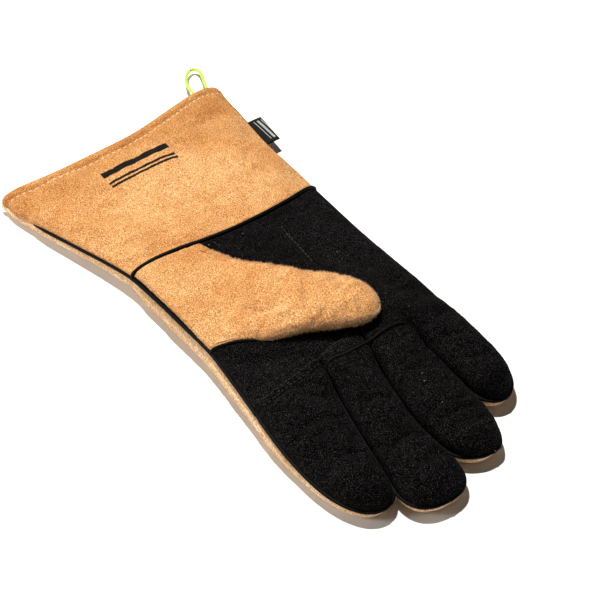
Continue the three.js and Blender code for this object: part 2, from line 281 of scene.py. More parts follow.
def lining_material():
    m, nt, b = new_mat("cotton_lining")
    co = nt.nodes.new("ShaderNodeTexCoord").outputs["Object"]
    w1 = nt.nodes.new("ShaderNodeTexWave")
    w1.inputs["Scale"].default_value = 330.0
    w1.inputs["Distortion"].default_value = 0.6
    w1.bands_direction = "X"
    w2 = nt.nodes.new("ShaderNodeTexWave")
    w2.inputs["Scale"].default_value = 330.0
    w2.inputs["Distortion"].default_value = 0.6
    w2.bands_direction = "Y"
    for w in (w1, w2):
        nt.links.new(co, w.inputs["Vector"])
    weave = math_node(nt, "MULTIPLY", w1.outputs["Fac"], w2.outputs["Fac"])
    n = noise(nt, co, 420.0, 4.0, 0.7)
    f = math_node(nt, "MULTIPLY_ADD", weave, 0.5, math_node(nt, "MULTIPLY", n, 0.5))
    nt.links.new(ramp(nt, f, [(0.15, srgb(150, 140, 120)), (0.6, srgb(214, 205, 186))]), b.inputs["Base Color"])
    b.inputs["Roughness"].default_value = 0.95
    b.inputs["Sheen Weight"].default_value = 0.25
    bump(nt, b, f, 0.0004, 0.8)
    return m


LINEN = lining_material()


def thread_material(name, lo, hi, spec=0.5):
    m, nt, b = new_mat(name)
    co = nt.nodes.new("ShaderNodeTexCoord").outputs["Object"]
    w = nt.nodes.new("ShaderNodeTexWave")
    w.inputs["Scale"].default_value = 900.0
    w.inputs["Distortion"].default_value = 1.5
    w.bands_direction = "DIAGONAL"
    nt.links.new(co, w.inputs["Vector"])
    nt.links.new(ramp(nt, w.outputs["Fac"], [(0.1, lo), (0.8, hi)]), b.inputs["Base Color"])
    b.inputs["Roughness"].default_value = 0.6
    b.inputs["Sheen Weight"].default_value = 0.4 * spec
    b.inputs["Specular IOR Level"].default_value = spec
    bump(nt, b, w.outputs["Fac"], 0.00015, 0.8)
    return m


THREAD = thread_material("thread_cream", srgb(214, 172, 118), srgb(255, 236, 198))
THREAD_BLACK = thread_material("thread_black", srgb(16, 15, 15), srgb(50, 48, 47), 0.08)
THREAD_GREY = thread_material("thread_grey", srgb(28, 27, 27), srgb(74, 72, 71), 0.1)


def cord_material():
    m, nt, b = new_mat("cord_lime")
    co = nt.nodes.new("ShaderNodeTexCoord").outputs["Object"]
    w1 = nt.nodes.new("ShaderNodeTexWave")
    w1.inputs["Scale"].default_value = 420.0
    w1.inputs["Distortion"].default_value = 0.8
    w1.bands_direction = "DIAGONAL"
    nt.links.new(co, w1.inputs["Vector"])
    n = noise(nt, co, 1500.0, 2.0)
    f = math_node(nt, "MULTIPLY_ADD", w1.outputs["Fac"], 0.6, math_node(nt, "MULTIPLY", n, 0.4))
    nt.links.new(ramp(nt, f, [(0.15, srgb(120, 150, 20)), (0.55, srgb(182, 214, 44)), (0.85, srgb(216, 236, 96))]), b.inputs["Base Color"])
    b.inputs["Roughness"].default_value = 0.55
    b.inputs["Sheen Weight"].default_value = 0.2
    bump(nt, b, f, 0.0003, 0.8)
    return m


LIME = cord_material()


def ribbon_material():
    m, nt, b = new_mat("woven_ribbon")
    co = nt.nodes.new("ShaderNodeTexCoord").outputs["Object"]
    w1 = nt.nodes.new("ShaderNodeTexWave")
    w1.inputs["Scale"].default_value = 620.0
    w1.bands_direction = "X"
    w2 = nt.nodes.new("ShaderNodeTexWave")
    w2.inputs["Scale"].default_value = 620.0
    w2.bands_direction = "Y"
    for w in (w1, w2):
        nt.links.new(co, w.inputs["Vector"])
    f = math_node(nt, "MULTIPLY", w1.outputs["Fac"], w2.outputs["Fac"])
    base = ramp(nt, f, [(0.1, srgb(6, 6, 7)), (0.8, srgb(26, 26, 29))])
    sep = nt.nodes.new("ShaderNodeSeparateXYZ")
    nt.links.new(co, sep.inputs[0])
    bars = None
    for yc, hw in ((0.0889, 0.0009), (0.0859, 0.00035), (0.0918, 0.00035)):
        dy = math_node(nt, "SUBTRACT", math_node(nt, "ABSOLUTE", math_node(nt, "SUBTRACT", sep.outputs[1], yc)), hw)
        dx = math_node(nt, "SUBTRACT", math_node(nt, "ABSOLUTE", math_node(nt, "SUBTRACT", sep.outputs[0], -0.1342)), 0.0105)
        g = math_node(nt, "LESS_THAN", math_node(nt, "MAXIMUM", dy, dx), 0.0)
        bars = g if bars is None else math_node(nt, "MAXIMUM", bars, g)
    light = ramp(nt, f, [(0.05, srgb(120, 120, 118)), (0.6, srgb(226, 226, 222))])
    nt.links.new(mix(nt, base, light, bars), b.inputs["Base Color"])
    b.inputs["Roughness"].default_value = 0.6
    b.inputs["Specular IOR Level"].default_value = 0.2
    bump(nt, b, f, 0.0002, 0.8)
    return m


RIBBON = ribbon_material()


# ------------------------------------------------------------------ numeric helpers
def hash3(i, j, k, seed):
    with np.errstate(over="ignore"):
        h = (i.astype(np.uint32) * np.uint32(374761393) + j.astype(np.uint32) * np.uint32(668265263)
             + k.astype(np.uint32) * np.uint32(2147483647) + np.uint32(seed) * np.uint32(1274126177))
        h = (h ^ (h >> np.uint32(13))) * np.uint32(1274126177)
        h = h ^ (h >> np.uint32(16))
    return h.astype(np.float64) / 4294967295.0


def vnoise(p, scale, seed=1):
    """Smooth value noise in -1..1 at points p (n,3), feature size scale."""
    q = np.asarray(p, float) / scale + 1000.0
    i = np.floor(q).astype(np.int64)
    f = q - i
    f = f * f * f * (f * (f * 6 - 15) + 10)
    out = 0
    for dx in (0, 1):
        for dy in (0, 1):
            for dz in (0, 1):
                w = (f[..., 0] if dx else 1 - f[..., 0]) * (f[..., 1] if dy else 1 - f[..., 1]) * (f[..., 2] if dz else 1 - f[..., 2])
                out = out + w * hash3(i[..., 0] + dx, i[..., 1] + dy, i[..., 2] + dz, seed)
    return out * 2 - 1


def fbm(p, scale, octaves=3, seed=1, gain=0.5):
    s, a, t = 0, 1.0, 0
    for o in range(octaves):
        s = s + a * vnoise(p, scale / 2 ** o, seed + 17 * o)
        t += a
        a *= gain
    return s / t


def crom(pts, n=400):
    """Dense smooth curve through points, resampled evenly by length."""
    P = np.asarray(pts, float)
    P = np.vstack([2 * P[0] - P[1], P, 2 * P[-1] - P[-2]])
    out = []
    for i in range(1, len(P) - 2):
        p0, p1, p2, p3 = P[i - 1], P[i], P[i + 1], P[i + 2]
        d = [max(np.linalg.norm(b - a), 1e-6) ** 0.5 for a, b in ((p0, p1), (p1, p2), (p2, p3))]
        t0, t1 = 0, d[0]
        t2 = t1 + d[1]
        t3 = t2 + d[2]
        t = np.linspace(t1, t2, 24, endpoint=False)[:, None]
        A1 = (t1 - t) / (t1 - t0) * p0 + (t - t0) / (t1 - t0) * p1
        A2 = (t2 - t) / (t2 - t1) * p1 + (t - t1) / (t2 - t1) * p2
        A3 = (t3 - t) / (t3 - t2) * p2 + (t - t2) / (t3 - t2) * p3
        B1 = (t2 - t) / (t2 - t0) * A1 + (t - t0) / (t2 - t0) * A2
        B2 = (t3 - t) / (t3 - t1) * A2 + (t - t1) / (t3 - t1) * A3
        out.append((t2 - t) / (t2 - t1) * B1 + (t - t1) / (t2 - t1) * B2)
    out.append(P[-2][None])
    C = np.vstack(out)
    return resample(C, n)


def resample(C, n):
    L = np.concatenate([[0], np.cumsum(np.linalg.norm(np.diff(C, axis=0), axis=1))])
    t = np.linspace(0, L[-1], n)
    return np.stack([np.interp(t, L, C[:, k]) for k in range(C.shape[1])], 1)


class Curve:
    """A smooth curve, called with 0..1 along its length."""

    def __init__(self, pts):
        self.C = crom(pts, 800)

    def __call__(self, t):
        t = np.clip(np.asarray(t, float), 0, 1) * (len(self.C) - 1)
        i = np.minimum(t.astype(int), len(self.C) - 2)
        f = (t - i)[..., None]
        return self.C[i] * (1 - f) + self.C[i + 1] * f


def smooth_table(rows):
    xs = [r[0] for r in rows]
    ys = [r[1] for r in rows]
    C = crom(list(zip(xs, ys)), 1200)
    o = np.argsort(C[:, 0], kind="stable")
    cx, cy = C[o, 0], C[o, 1]
    return lambda x: np.interp(x, cx, cy)


def sstep(a, b, x):
    t = np.clip((np.asarray(x, float) - a) / (b - a), 0, 1)
    return t * t * (3 - 2 * t)


def dome(v, n):
    """0 at v=0 and 1, 1 in the middle."""
    return np.power(np.clip(1 - np.abs(2 * v - 1) ** n, 0, 1), 1.0 / n)


def edge_spaced(n, power=0.75):
    """0..1, denser at both ends."""
    u = np.linspace(0, 1, n)
    c = (1 - np.cos(np.pi * u)) / 2
    return c * power + u * (1 - power)


# ------------------------------------------------------------------ mesh builders
def grid_normals(P):
    du = np.gradient(P, axis=0)
    dv = np.gradient(P, axis=1)
    n = np.cross(du, dv)
    L = np.linalg.norm(n, axis=2, keepdims=True)
    return n / np.maximum(L, 1e-9)


def sheet_mesh(name, P, thick, mat, body=None, out=None, close_v=False, rim_round=True, extra_mats=()):
    """A closed leather sheet: outer grid P (nu, nv, 3) in wrist mm, offset inwards by thick along its normals.
    out is a sign or a point that the outer side faces away from."""
    N = grid_normals(P)
    # outward test against the given inside point
    if out is not None:
        d = np.sum(N * (P - np.asarray(out)), axis=2)
        if np.median(d) < 0:
            N = -N
    th = np.full(P.shape[:2], float(thick)) if np.isscalar(thick) else thick
    for _ in range(2):
        N2 = N.copy()
        N2[1:-1] += N[:-2] + N[2:]
        N2[:, 1:-1] += N[:, :-2] + N[:, 2:]
        N = N2 / np.maximum(np.linalg.norm(N2, axis=2, keepdims=True), 1e-9)
    Q = P - N * th[..., None]
    nu, nv = P.shape[:2]
    V = np.concatenate([P.reshape(-1, 3), Q.reshape(-1, 3)])
    off = nu * nv
    F = []
    idx = lambda i, j: i * nv + j
    for i in range(nu - 1):
        for j in range(nv - 1):
            a, b, c, d = idx(i, j), idx(i, j + 1), idx(i + 1, j + 1), idx(i + 1, j)
            F.append((a, b, c, d))
            F.append((off + a, off + d, off + c, off + b))
    rim = []
    for j in range(nv - 1):
        rim.append((idx(0, j + 1), idx(0, j)))
        rim.append((idx(nu - 1, j), idx(nu - 1, j + 1)))
    for i in range(nu - 1):
        rim.append((idx(i, 0), idx(i + 1, 0)))
        rim.append((idx(i + 1, nv - 1), idx(i, nv - 1)))
    for a, b in rim:
        F.append((a, b, off + b, off + a))
    return make_mesh(name, V, F, mat, extra_mats)


def make_mesh(name, V, F, mat, extra_mats=(), smooth=True, merge=1e-6):
    me = bpy.data.meshes.new(name)
    me.from_pydata([tuple(p) for p in W(V)], [], [tuple(int(i) for i in f) for f in F])
    bm = bmesh.new()
    bm.from_mesh(me)
    bmesh.ops.remove_doubles(bm, verts=bm.verts, dist=merge)
    bmesh.ops.dissolve_degenerate(bm, dist=1e-8, edges=bm.edges)
    bmesh.ops.recalc_face_normals(bm, faces=bm.faces)
    bm.to_mesh(me)
    bm.free()
    for p in me.polygons:
        p.use_smooth = smooth
    me.materials.append(mat)
    for m in extra_mats:
        me.materials.append(m)
    me.update()
    return link(bpy.data.objects.new(name, me))


def tube_mesh(name, C, radius, mat, sides=10, caps=True, flat=None):
    """A round tube along the points C (n,3) in wrist mm."""
    C = np.asarray(C, float)
    n = len(C)
    T = np.gradient(C, axis=0)
    T /= np.maximum(np.linalg.norm(T, axis=1, keepdims=True), 1e-9)
    r = np.full(n, float(radius)) if np.isscalar(radius) else np.asarray(radius, float)
    ref = np.array([0, 0, 1.0])
    A = np.cross(T, ref)
    bad = np.linalg.norm(A, axis=1) < 1e-3
    A[bad] = np.array([1.0, 0, 0])
    A /= np.linalg.norm(A, axis=1, keepdims=True)
    B = np.cross(A, T)
    V, F = [], []
    for i in range(n):
        for k in range(sides):
            a = 2 * math.pi * k / sides
            V.append(C[i] + r[i] * (math.cos(a) * A[i] + math.sin(a) * B[i]))
    for i in range(n - 1):
        for k in range(sides):
            k2 = (k + 1) % sides
            F.append((i * sides + k, i * sides + k2, (i + 1) * sides + k2, (i + 1) * sides + k))
    if caps:
        V.append(C[0] - T[0] * r[0] * 0.6)
        V.append(C[-1] + T[-1] * r[-1] * 0.6)
        for k in range(sides):
            k2 = (k + 1) % sides
            F.append((n * sides, k2, k))
            F.append((n * sides + 1, (n - 1) * sides + k, (n - 1) * sides + k2))
    return make_mesh(name, np.array(V), F, mat)


def stitch_mesh(name, C, N, mat, length=3.2, gap=1.3, r=0.36, proud=0.12, seed=3):
    """A row of thread stitches along C with surface normals N (both (n,3), wrist mm)."""
    L = np.concatenate([[0], np.cumsum(np.linalg.norm(np.diff(C, axis=0), axis=1))])
    V, F = [], []
    rng = np.random.RandomState(seed)
    s = gap
    at = lambda t, X: np.array([np.interp(t, L, X[:, k]) for k in range(3)])
    while s + length < L[-1]:
        rings = 7
        base = len(V)
        jit = (rng.rand(3) - 0.5) * 0.14
        for q in range(rings):
            t = q / (rings - 1)
            c = at(s + length * t, C)
            nn = at(s + length * t, N)
            nn /= max(np.linalg.norm(nn), 1e-9)
            tt = at(min(s + length * t + 0.2, L[-1]), C) - at(max(s + length * t - 0.2, 0), C)
            tt /= max(np.linalg.norm(tt), 1e-9)
            b = np.cross(nn, tt)
            arch = math.sin(math.pi * t)
            rr = r * (0.45 + 0.55 * min(1, 3.0 * arch))
            ctr = c + nn * (proud * arch - 0.30 * (1 - arch) ** 2) + b * jit[0]
            for k in range(6):
                a = 2 * math.pi * k / 6
                V.append(ctr + rr * (math.cos(a) * b + math.sin(a) * nn))
        for q in range(rings - 1):
            for k in range(6):
                k2 = (k + 1) % 6
                F.append((base + q * 6 + k, base + q * 6 + k2, base + (q + 1) * 6 + k2, base + (q + 1) * 6 + k))
        F.append(tuple(base + k for k in range(5, -1, -1)))
        F.append(tuple(base + (rings - 1) * 6 + k for k in range(6)))
        s += length + gap * (1 + 0.15 * jit[1])
    return make_mesh(name, np.array(V), F, mat)


def cloth(P, pins, pressure=2.0, grow=0.02, frames=18, cap=2.5, bend=0.4, name="cloth"):
    """Relaxes a leather panel (grid P, wrist mm) as cloth under a light pressure from inside; pins holds its sewn points."""
    nu, nv = P.shape[:2]
    pole = np.linalg.norm(P[-1].max(0) - P[-1].min(0)) < 1e-6
    V = W(P.reshape(-1, 3))
    F = [(i * nv + j, i * nv + j + 1, (i + 1) * nv + j + 1, (i + 1) * nv + j)
         for i in range(nu - 1 - (1 if pole else 0)) for j in range(nv - 1)]
    me = bpy.data.meshes.new(name)
    me.from_pydata([tuple(v) for v in V], [], F)
    me.update()
    if me.polygons[len(F) // 2].normal.z < 0:
        me.flip_normals()
    o = link(bpy.data.objects.new(name, me))
    g = o.vertex_groups.new(name="pin")
    flat = pins.reshape(-1)
    for w in np.unique(np.round(flat, 2)):
        if w > 0:
            g.add([int(i) for i in np.where(np.round(flat, 2) == w)[0]], float(w), "REPLACE")
    md = o.modifiers.new("cloth", "CLOTH")
    st = md.settings
    st.quality, st.mass = 5, 0.25
    st.tension_stiffness = st.compression_stiffness = 12.0
    st.shear_stiffness = 6.0
    st.bending_stiffness = bend
    st.tension_damping = st.compression_damping = st.shear_damping = 8.0
    st.use_pressure, st.uniform_pressure_force = True, pressure
    st.shrink_min = st.shrink_max = -grow
    st.effector_weights.gravity = 0.0
    st.vertex_group_mass = "pin"
    md.collision_settings.use_collision = False
    md.point_cache.frame_start, md.point_cache.frame_end = 1, frames
    scn = bpy.context.scene
    for f in range(1, frames + 1):
        scn.frame_set(f)
    ev = o.evaluated_get(bpy.context.evaluated_depsgraph_get())
    m2 = ev.to_mesh()
    co = np.empty(len(m2.vertices) * 3)
    m2.vertices.foreach_get("co", co)
    ev.to_mesh_clear()
    co = co.reshape(nu, nv, 3) * 1000.0 + np.array([OX, OY, 0.0])
    bpy.data.objects.remove(o, do_unlink=True)
    bpy.data.meshes.remove(me)
    scn.frame_set(1)
    D = np.nan_to_num(co - P)
    L = np.linalg.norm(D, axis=2, keepdims=True)
    D = D * np.tanh(L / cap) * cap / np.maximum(L, 1e-9)
    D = D * (1 - np.clip(pins, 0, 1))[..., None]
    if pole:
        D[-1] = 0
    return P + D


def nap(P, edge, amp=0.22, seed=201):
    """Small lumps of the suede's surface, 2 to 4 mm across, fading out at the sewn edges."""
    N = grid_normals(P)
    N = N if np.median(N[..., 2]) > 0 else -N
    p = P.reshape(-1, 3)
    h = (0.65 * vnoise(p, 4.2, seed) + 0.45 * vnoise(p, 2.4, seed + 3)).reshape(P.shape[:2])
    return P + N * (amp * h * sstep(0.4, 2.5, edge))[..., None]


def on_surface(P, N, pts, lift=0.0):
    """Points and normals of the panel P nearest to plan points pts (n,2), lifted along the normal."""
    A, B = P.reshape(-1, 3), N.reshape(-1, 3)
    out, nn = [], []
    for p in np.asarray(pts, float):
        d = np.hypot(A[:, 0] - p[0], A[:, 1] - p[1])
        k = np.argpartition(d, 6)[:6]
        w = 1 / (d[k] + 0.05) ** 2
        w /= w.sum()
        q = (A[k] * w[:, None]).sum(0)
        n = (B[k] * w[:, None]).sum(0)
        n /= max(np.linalg.norm(n), 1e-9)
        out.append(np.array([p[0], p[1], q[2]]) + n * lift)
        nn.append(n)
    return np.array(out), np.array(nn)


def fibres(name, pts, nrm, mat, length=(0.5, 1.1), r=0.075, seed=5, lean=0.7):
    """Loose fibres of the nap: short closed spikes at pts."""
    rng = np.random.RandomState(seed)
    V, F = [], []
    for p, n in zip(pts, nrm):
        t = rng.normal(size=3)
        d = n + lean * t * 0.6
        d /= max(np.linalg.norm(d), 1e-9)
        a = np.cross(d, [0.3, 0.5, 0.8])
        a /= max(np.linalg.norm(a), 1e-9)
        b = np.cross(d, a)
        L = length[0] + (length[1] - length[0]) * rng.rand()
        k = len(V)
        base = p - n * 0.12
        for q in range(3):
            g = 2.0944 * q
            V.append(base + r * (math.cos(g) * a + math.sin(g) * b))
        V.append(base + d * L)
        F += [(k, k + 1, k + 3), (k + 1, k + 2, k + 3), (k + 2, k, k + 3), (k + 2, k + 1, k)]
    me = bpy.data.meshes.new(name)
    me.from_pydata([tuple(v) for v in W(np.array(V))], [], F)
    me.materials.append(mat)
    me.update()
    return link(bpy.data.objects.new(name, me))


# ------------------------------------------------------------------ the glove's outline, wrist mm
ZSL = smooth_table([(-140, 6.3), (-130, 6.6), (-110, 7.7), (-95, 9.2), (-50, 12), (0, 15.5), (45, 17.5), (80, 17.3), (120, 15.6), (133, 14.6), (165, 12), (200, 9.4), (240, 8.6)])
ZSR = smooth_table([(-140, 7.5), (-131, 8), (-91, 9.3), (-62, 10.4), (-27, 11.4), (0, 12), (45, 12.4), (98, 12.4), (133, 12), (165, 11), (200, 9.2), (240, 8.6)])
ZT = smooth_table([(-140, 22), (-130, 22.5), (-95, 23.5), (-50, 24.5), (-8, 26), (0, 26.3), (45, 27), (80, 27), (120, 26.5), (133, 25.6), (165, 24), (200, 21.5), (240, 19.5)])
CROTCH = 129.0

SIDE_L = smooth_table([(-125, -92.0), (-110, -91.4), (-95, -88.0), (-83, -84.4), (-54, -75.6), (-31, -68.9), (-8, -63.6), (16, -61.9), (46, -60.8),
                       (76, -59.6), (92, -60.6), (122, -63.2), (140, -64.9), (163, -66)])
SIDE_R = smooth_table([(-134, 86.3), (-118, 85), (-91, 82.0), (-62, 79.3), (-27, 78.6), (-12, 78.1), (11, 77.8), (41, 77.7), (69, 78.7), (98, 80.5), (127, 80.9), (153, 81.6)])


def ZS(x, y):
    """Height of the side seam: lower on the little-finger side."""
    l, r = SIDE_L(x), SIDE_R(x)
    t = np.clip((y - l) / (r - l), 0, 1)
    return ZSL(x) * (1 - t) + ZSR(x) * t


MOUTH = Curve([(-123.5, -92.0), (-121.7, -86.6), (-115.4, -60.4), (-114.2, -24), (-115.9, 6.8), (-122, 33.7), (-131.1, 66.1), (-132.9, 76.8), (-132.6, 83.6), (-130.2, 86.3)])
WRIST = Curve([(-7, -63.6), (-6.8, -58.9), (-6.3, -52), (-5.6, -45.7), (-2.8, -29.2), (0.1, -15.9), (2.7, 3.5), (3.1, 24.1), (2.4, 37.8), (0.3, 53.4), (-3.9, 68.5), (-5.6, 74), (-6.4, 78.2)])
EDGE = {
    "index": ([(129, -63.9), (140, -64.9), (163, -66), (185, -64.8), (200, -61.8), (209, -58.2), (216.5, -53.2), (220.6, -47.5), (222, -41.8)],
              [(129, -13.9), (143, -16.8), (157, -20.1), (176, -23.6), (195, -26.6), (209, -29.2), (216.5, -31.9), (220.4, -36), (222, -41.8)]),
    "middle": ([(129, -13.9), (143, -16.2), (157, -19.3), (176, -22.8), (195, -25.8), (209, -28.4), (218, -30.4), (226.5, -29.4), (233, -25.4), (237, -18.6), (238.8, -9)],
               [(129, 18.2), (140, 15.8), (151, 13.9), (170, 10.7), (189, 9), (203, 9.6), (214, 10.4), (223, 10.2), (230.5, 8.2), (236, 3.4), (238.3, -2.5), (238.8, -9)]),
    "ring": ([(129, 18.2), (140, 16.6), (151, 14.9), (170, 11.7), (189, 10), (203, 10.8), (212, 12), (218.5, 15.2), (223, 20.5), (226, 27), (226.8, 33.5)],
             [(129, 48.6), (143, 48.7), (157, 48.9), (178, 49.6), (196, 49.4), (206, 48.4), (215, 46), (222, 42.4), (225.8, 38.4), (226.8, 33.5)]),
    "little": ([(129, 48.6), (143, 49.3), (157, 49.9), (178, 50.8), (187, 51.4), (193, 53), (197.6, 56.6), (200, 61), (200.5, 65.4)],
               [(129, 80.9), (153, 81.6), (170, 81.4), (180, 80.4), (188, 78.4), (194.4, 74.8), (198.6, 70.2), (200.5, 65.4)]),
}
FINGERS = ["index", "middle", "ring", "little"]


def coons(M, Wc, Lc, Rc, s, v):
    """Coons patch: M(v) at s=0, Wc(v) at s=1, Lc(s) at v=0, Rc(s) at v=1 (all (n,2))."""
    S, V = s[:, None, None], v[None, :, None]
    m, w, l, r = M[None], Wc[None], Lc[:, None], Rc[:, None]
    c00, c01, c10, c11 = M[0], M[-1], Wc[0], Wc[-1]
    return ((1 - S) * m + S * w + (1 - V) * l + V * r
            - ((1 - S) * (1 - V) * c00 + (1 - S) * V * c01 + S * (1 - V) * c10 + S * V * c11))


def wrinkle(P, amp, seed, aniso=(1, 1, 1)):
    p = P.reshape(-1, 3) * np.array(aniso)
    w = 0.62 * fbm(p, 34.0, 2, seed) + 0.26 * fbm(p, 13.0, 2, seed + 5) + 0.12 * vnoise(p, 4.5, seed + 9)
    # soft creases: a folded noise gives narrow valleys between broad swells
    r = 1 - np.abs(fbm(p, 46.0, 2, seed + 31)) * 2.4
    w = w - 0.35 * np.clip(r, 0, 1) ** 6
    return (amp * w).reshape(P.shape[:2])


# ------------------------------------------------------------------ hanging loop (the only cord)
LOOP = [(-130.6, 69.5, 11), (-137, 70, 10.6), (-146, 71.2, 8.8), (-155, 74.2, 6.8), (-163, 78.8, 5.2), (-168.4, 84.2, 4.3),
        (-169.6, 88.9, 4.0), (-165.6, 91.0, 4.1), (-158.5, 89.2, 5.0), (-149.5, 85.4, 6.6), (-140, 81.6, 8.4), (-130.6, 78.6, 9.2)]


def make_loop():
    C = crom(LOOP, 40)
    L = float(np.sum(np.linalg.norm(np.diff(crom(LOOP, 800), axis=0), axis=1))) / 1000.0
    cu = bpy.data.curves.new("hanging_loop_cord", "CURVE")
    cu.dimensions = "3D"
    sp = cu.splines.new("POLY")
    sp.points.add(len(C) - 1)
    for p, q in zip(sp.points, W(C)):
        p.co = (*q, 1.0)
    cu.bevel_depth, cu.bevel_resolution = 0.00115, 3
    cu.use_fill_caps = True
    o = link(bpy.data.objects.new("hanging_loop_cord", cu))
    o.data.materials.append(LIME)
    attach(o, "loop")
    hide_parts("hanging_loop")
    return L


LOOP_LENGTH = make_loop()

# ------------------------------------------------------------------ cuff
NV = 124


def cuff_grids():
    s = np.linspace(0, 1, 92)
    s = np.concatenate([[0, 0.0035, 0.0075, 0.012], s[2:]])     # finer rows at the hem fold
    v = edge_spaced(NV, 0.8)
    xl = -123.5 + (-7 + 123.5) * s
    xr = -130.2 + (-6.4 + 130.2) * s
    Lc = np.stack([xl, SIDE_L(xl)], 1)
    Rc = np.stack([xr, SIDE_R(xr)], 1)
    M, Wc = MOUTH(v), WRIST(v)
    Lc[0], Rc[0], Lc[-1], Rc[-1] = M[0], M[-1], Wc[0], Wc[-1]
    G = coons(M, Wc, Lc, Rc, s, v)
    return s, v, G


def front_z(G, v, n=2.6):
    x = G[..., 0]
    zs = ZS(x, G[..., 1])
    return zs + (ZT(x) - zs) * dome(v, n)[None, :]


def displaced(P, D, inside):
    N = grid_normals(P)
    d = np.sum(N * (P - np.asarray(inside)), axis=2)
    if np.median(d) < 0:
        N = -N
    return P + N * D[..., None], N


def done(o, body, nodes, blend=None):
    """Attaches a finished piece to its body, or bakes its transform when a blend is given, and hides the CAD parts it
    stands for.
    """
    if blend:
        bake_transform(o)
    else:
        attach(o, body)
    if nodes:
        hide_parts(*nodes)


CUFF_BLEND = ("cuff", (-9.5, 8, 20), (-52, 8, 20))


def make_cuff():
    s, v, G = cuff_grids()
    Z = front_z(G, v)
    P = np.concatenate([G, Z[..., None]], 2)
    edge = np.minimum(v, 1 - v)[None, :] * 170.0         # mm to the side seams
    fade = sstep(0.5, 16, edge) * sstep(0, 7, (G[..., 0] - G[:1, :, 0]))
    wfade = sstep(0, 14, (G[-1:, :, 0] - G[..., 0]))
    D = (wrinkle(P, 0.8, 11, (0.8, 1.25, 1)) + 1.3 * fbm(P.reshape(-1, 3), 78.0, 2, 13).reshape(P.shape[:2])) * np.minimum(fade, 0.25 + 0.75 * wfade)
    # long soft hollows that run down from the thumb-side corner of the mouth
    for (cx, cy, ang, wid, ln, depth) in ((-88, -62, 0.50, 7.5, 46, 2.4), (-70, -48, 0.78, 6.5, 36, 1.5), (-98, -30, 0.25, 11, 42, 1.3), (-62, 30, -0.4, 13, 48, 1.3), (-100, 55, -0.9, 9, 30, 1.2)):
        dx, dy = G[..., 0] - cx, G[..., 1] - cy
        u = dx * math.cos(ang) + dy * math.sin(ang)
        w = -dx * math.sin(ang) + dy * math.cos(ang)
        D -= depth * np.exp(-(w / wid) ** 2 - (u / ln) ** 2) * fade
    # turned hem: a plump edge, a sewn groove 6.4 mm in
    dm = (G[..., 0] - G[:1, :, 0])
    D += 0.75 * np.exp(-((dm - 3.0) / 2.4) ** 2) - 1.05 * np.exp(-((dm - 6.4) / 0.9) ** 2)
    D += 0.22 * np.exp(-((dm - 7.6) / 1.8) ** 2) * np.sin(G[..., 1] * 1.37)
    # the panel dips into the wrist seam
    dw = (G[-1:, :, 0] - G[..., 0])
    D -= 1.0 * np.exp(-(dw / 1.6) ** 2)
    P2, N = displaced(P, D, (-60, 0, 5))
    pin = np.maximum(sstep(2.5, 0.5, edge), np.maximum(sstep(9.5, 7.5, dm), sstep(3.0, 1.0, dw))) * np.ones(dm.shape)
    P2 = cloth(P2, pin, pressure=1.0, grow=0.012, cap=2.0, name="cuff_cloth")
    P2 = nap(P2, np.minimum(edge + 0 * dm, np.minimum(dm, dw)), 0.24, 203)
    N = grid_normals(P2)
    N = N if np.median(N[..., 2]) > 0 else -N
    o = sheet_mesh("cuff_front_panel", P2, 1.7, TAN_CUFF, out=(-60, 0, 5))
    done(o, "hand", ["cuff_front"], CUFF_BLEND)
    # hem stitches
    C, NN = [], []
    for j in range(3, NV - 3):
        k = int(np.argmin(np.abs(dm[:, j] - 6.4)))
        C.append(P2[k, j])
        NN.append(N[k, j])
    C, NN = np.array(C), np.array(NN)
    st = stitch_mesh("hem_stitches", C, NN, THREAD, length=3.0, gap=1.5, r=0.34)
    done(st, "cuff", [])
    return P2, N, G


def back_grid(G, v, n=5.0, bulge=1.1, lift=0.35, zs=None):
    """The back side under the same outline: straight side walls and a flat underside."""
    x = G[..., 0]
    zs = ZS(x, G[..., 1]) if zs is None else zs
    d = dome(v, n)[None, :]
    z = zs - (zs - lift) * d
    q = 4 * d * (1 - d) * bulge
    side = np.sign(v - 0.5)[None, :]
    y = G[..., 1] + side * q
    return np.stack([x, y, z], 2)


CUFF_FRONT, CUFF_N, CUFF_G = make_cuff()


def make_cuff_back():
    s, v, G = cuff_grids()
    G = G[::1]
    P = back_grid(G, v, 5.0, 1.3, 0.5)
    flat = sstep(0.25, 4.0, P[..., 2])
    D = wrinkle(P, 1.1, 23) * flat
    dm = G[..., 0] - G[:1, :, 0]
    D += 0.5 * np.exp(-((dm - 3.0) / 2.4) ** 2) * flat - 0.6 * np.exp(-((dm - 6.4) / 0.9) ** 2)
    P2, N = displaced(P, D, (-60, 0, 12))
    P2[..., 2] = np.maximum(P2[..., 2], 0.05)
    C, NN = [], []
    for j in range(4, NV - 4):
        k = int(np.argmin(np.abs(dm[:, j] - 6.4)))
        C.append(P2[k, j])
        NN.append(N[k, j] if N[k, j, 2] < 0.7 else -N[k, j])
    C, NN = np.array(C), np.array(NN)
    C[:, 2] = np.maximum(C[:, 2], 0.42)
    st = stitch_mesh("back_hem_stitches", C, NN, THREAD, length=3.0, gap=1.5, r=0.30, proud=0.05, seed=4)
    done(st, "cuff", [])
    o = sheet_mesh("cuff_back_panel", P2, 1.7, TAN_EDGE, out=(-60, 0, 12))
    done(o, "hand", ["cuff_back"], CUFF_BLEND)
    return P2


CUFF_BACK = make_cuff_back()


# ------------------------------------------------------------------ hand and fingers
MF = 30                         # columns per finger


def hand_columns():
    """Column fractions: 4 fingers with MF columns each, sharing the columns between them."""
    lv = edge_spaced(MF, 0.75)
    cols = []
    for k in range(4):
        for i, t in enumerate(lv):
            if k and i == 0:
                continue
            cols.append((k, t))
    return cols


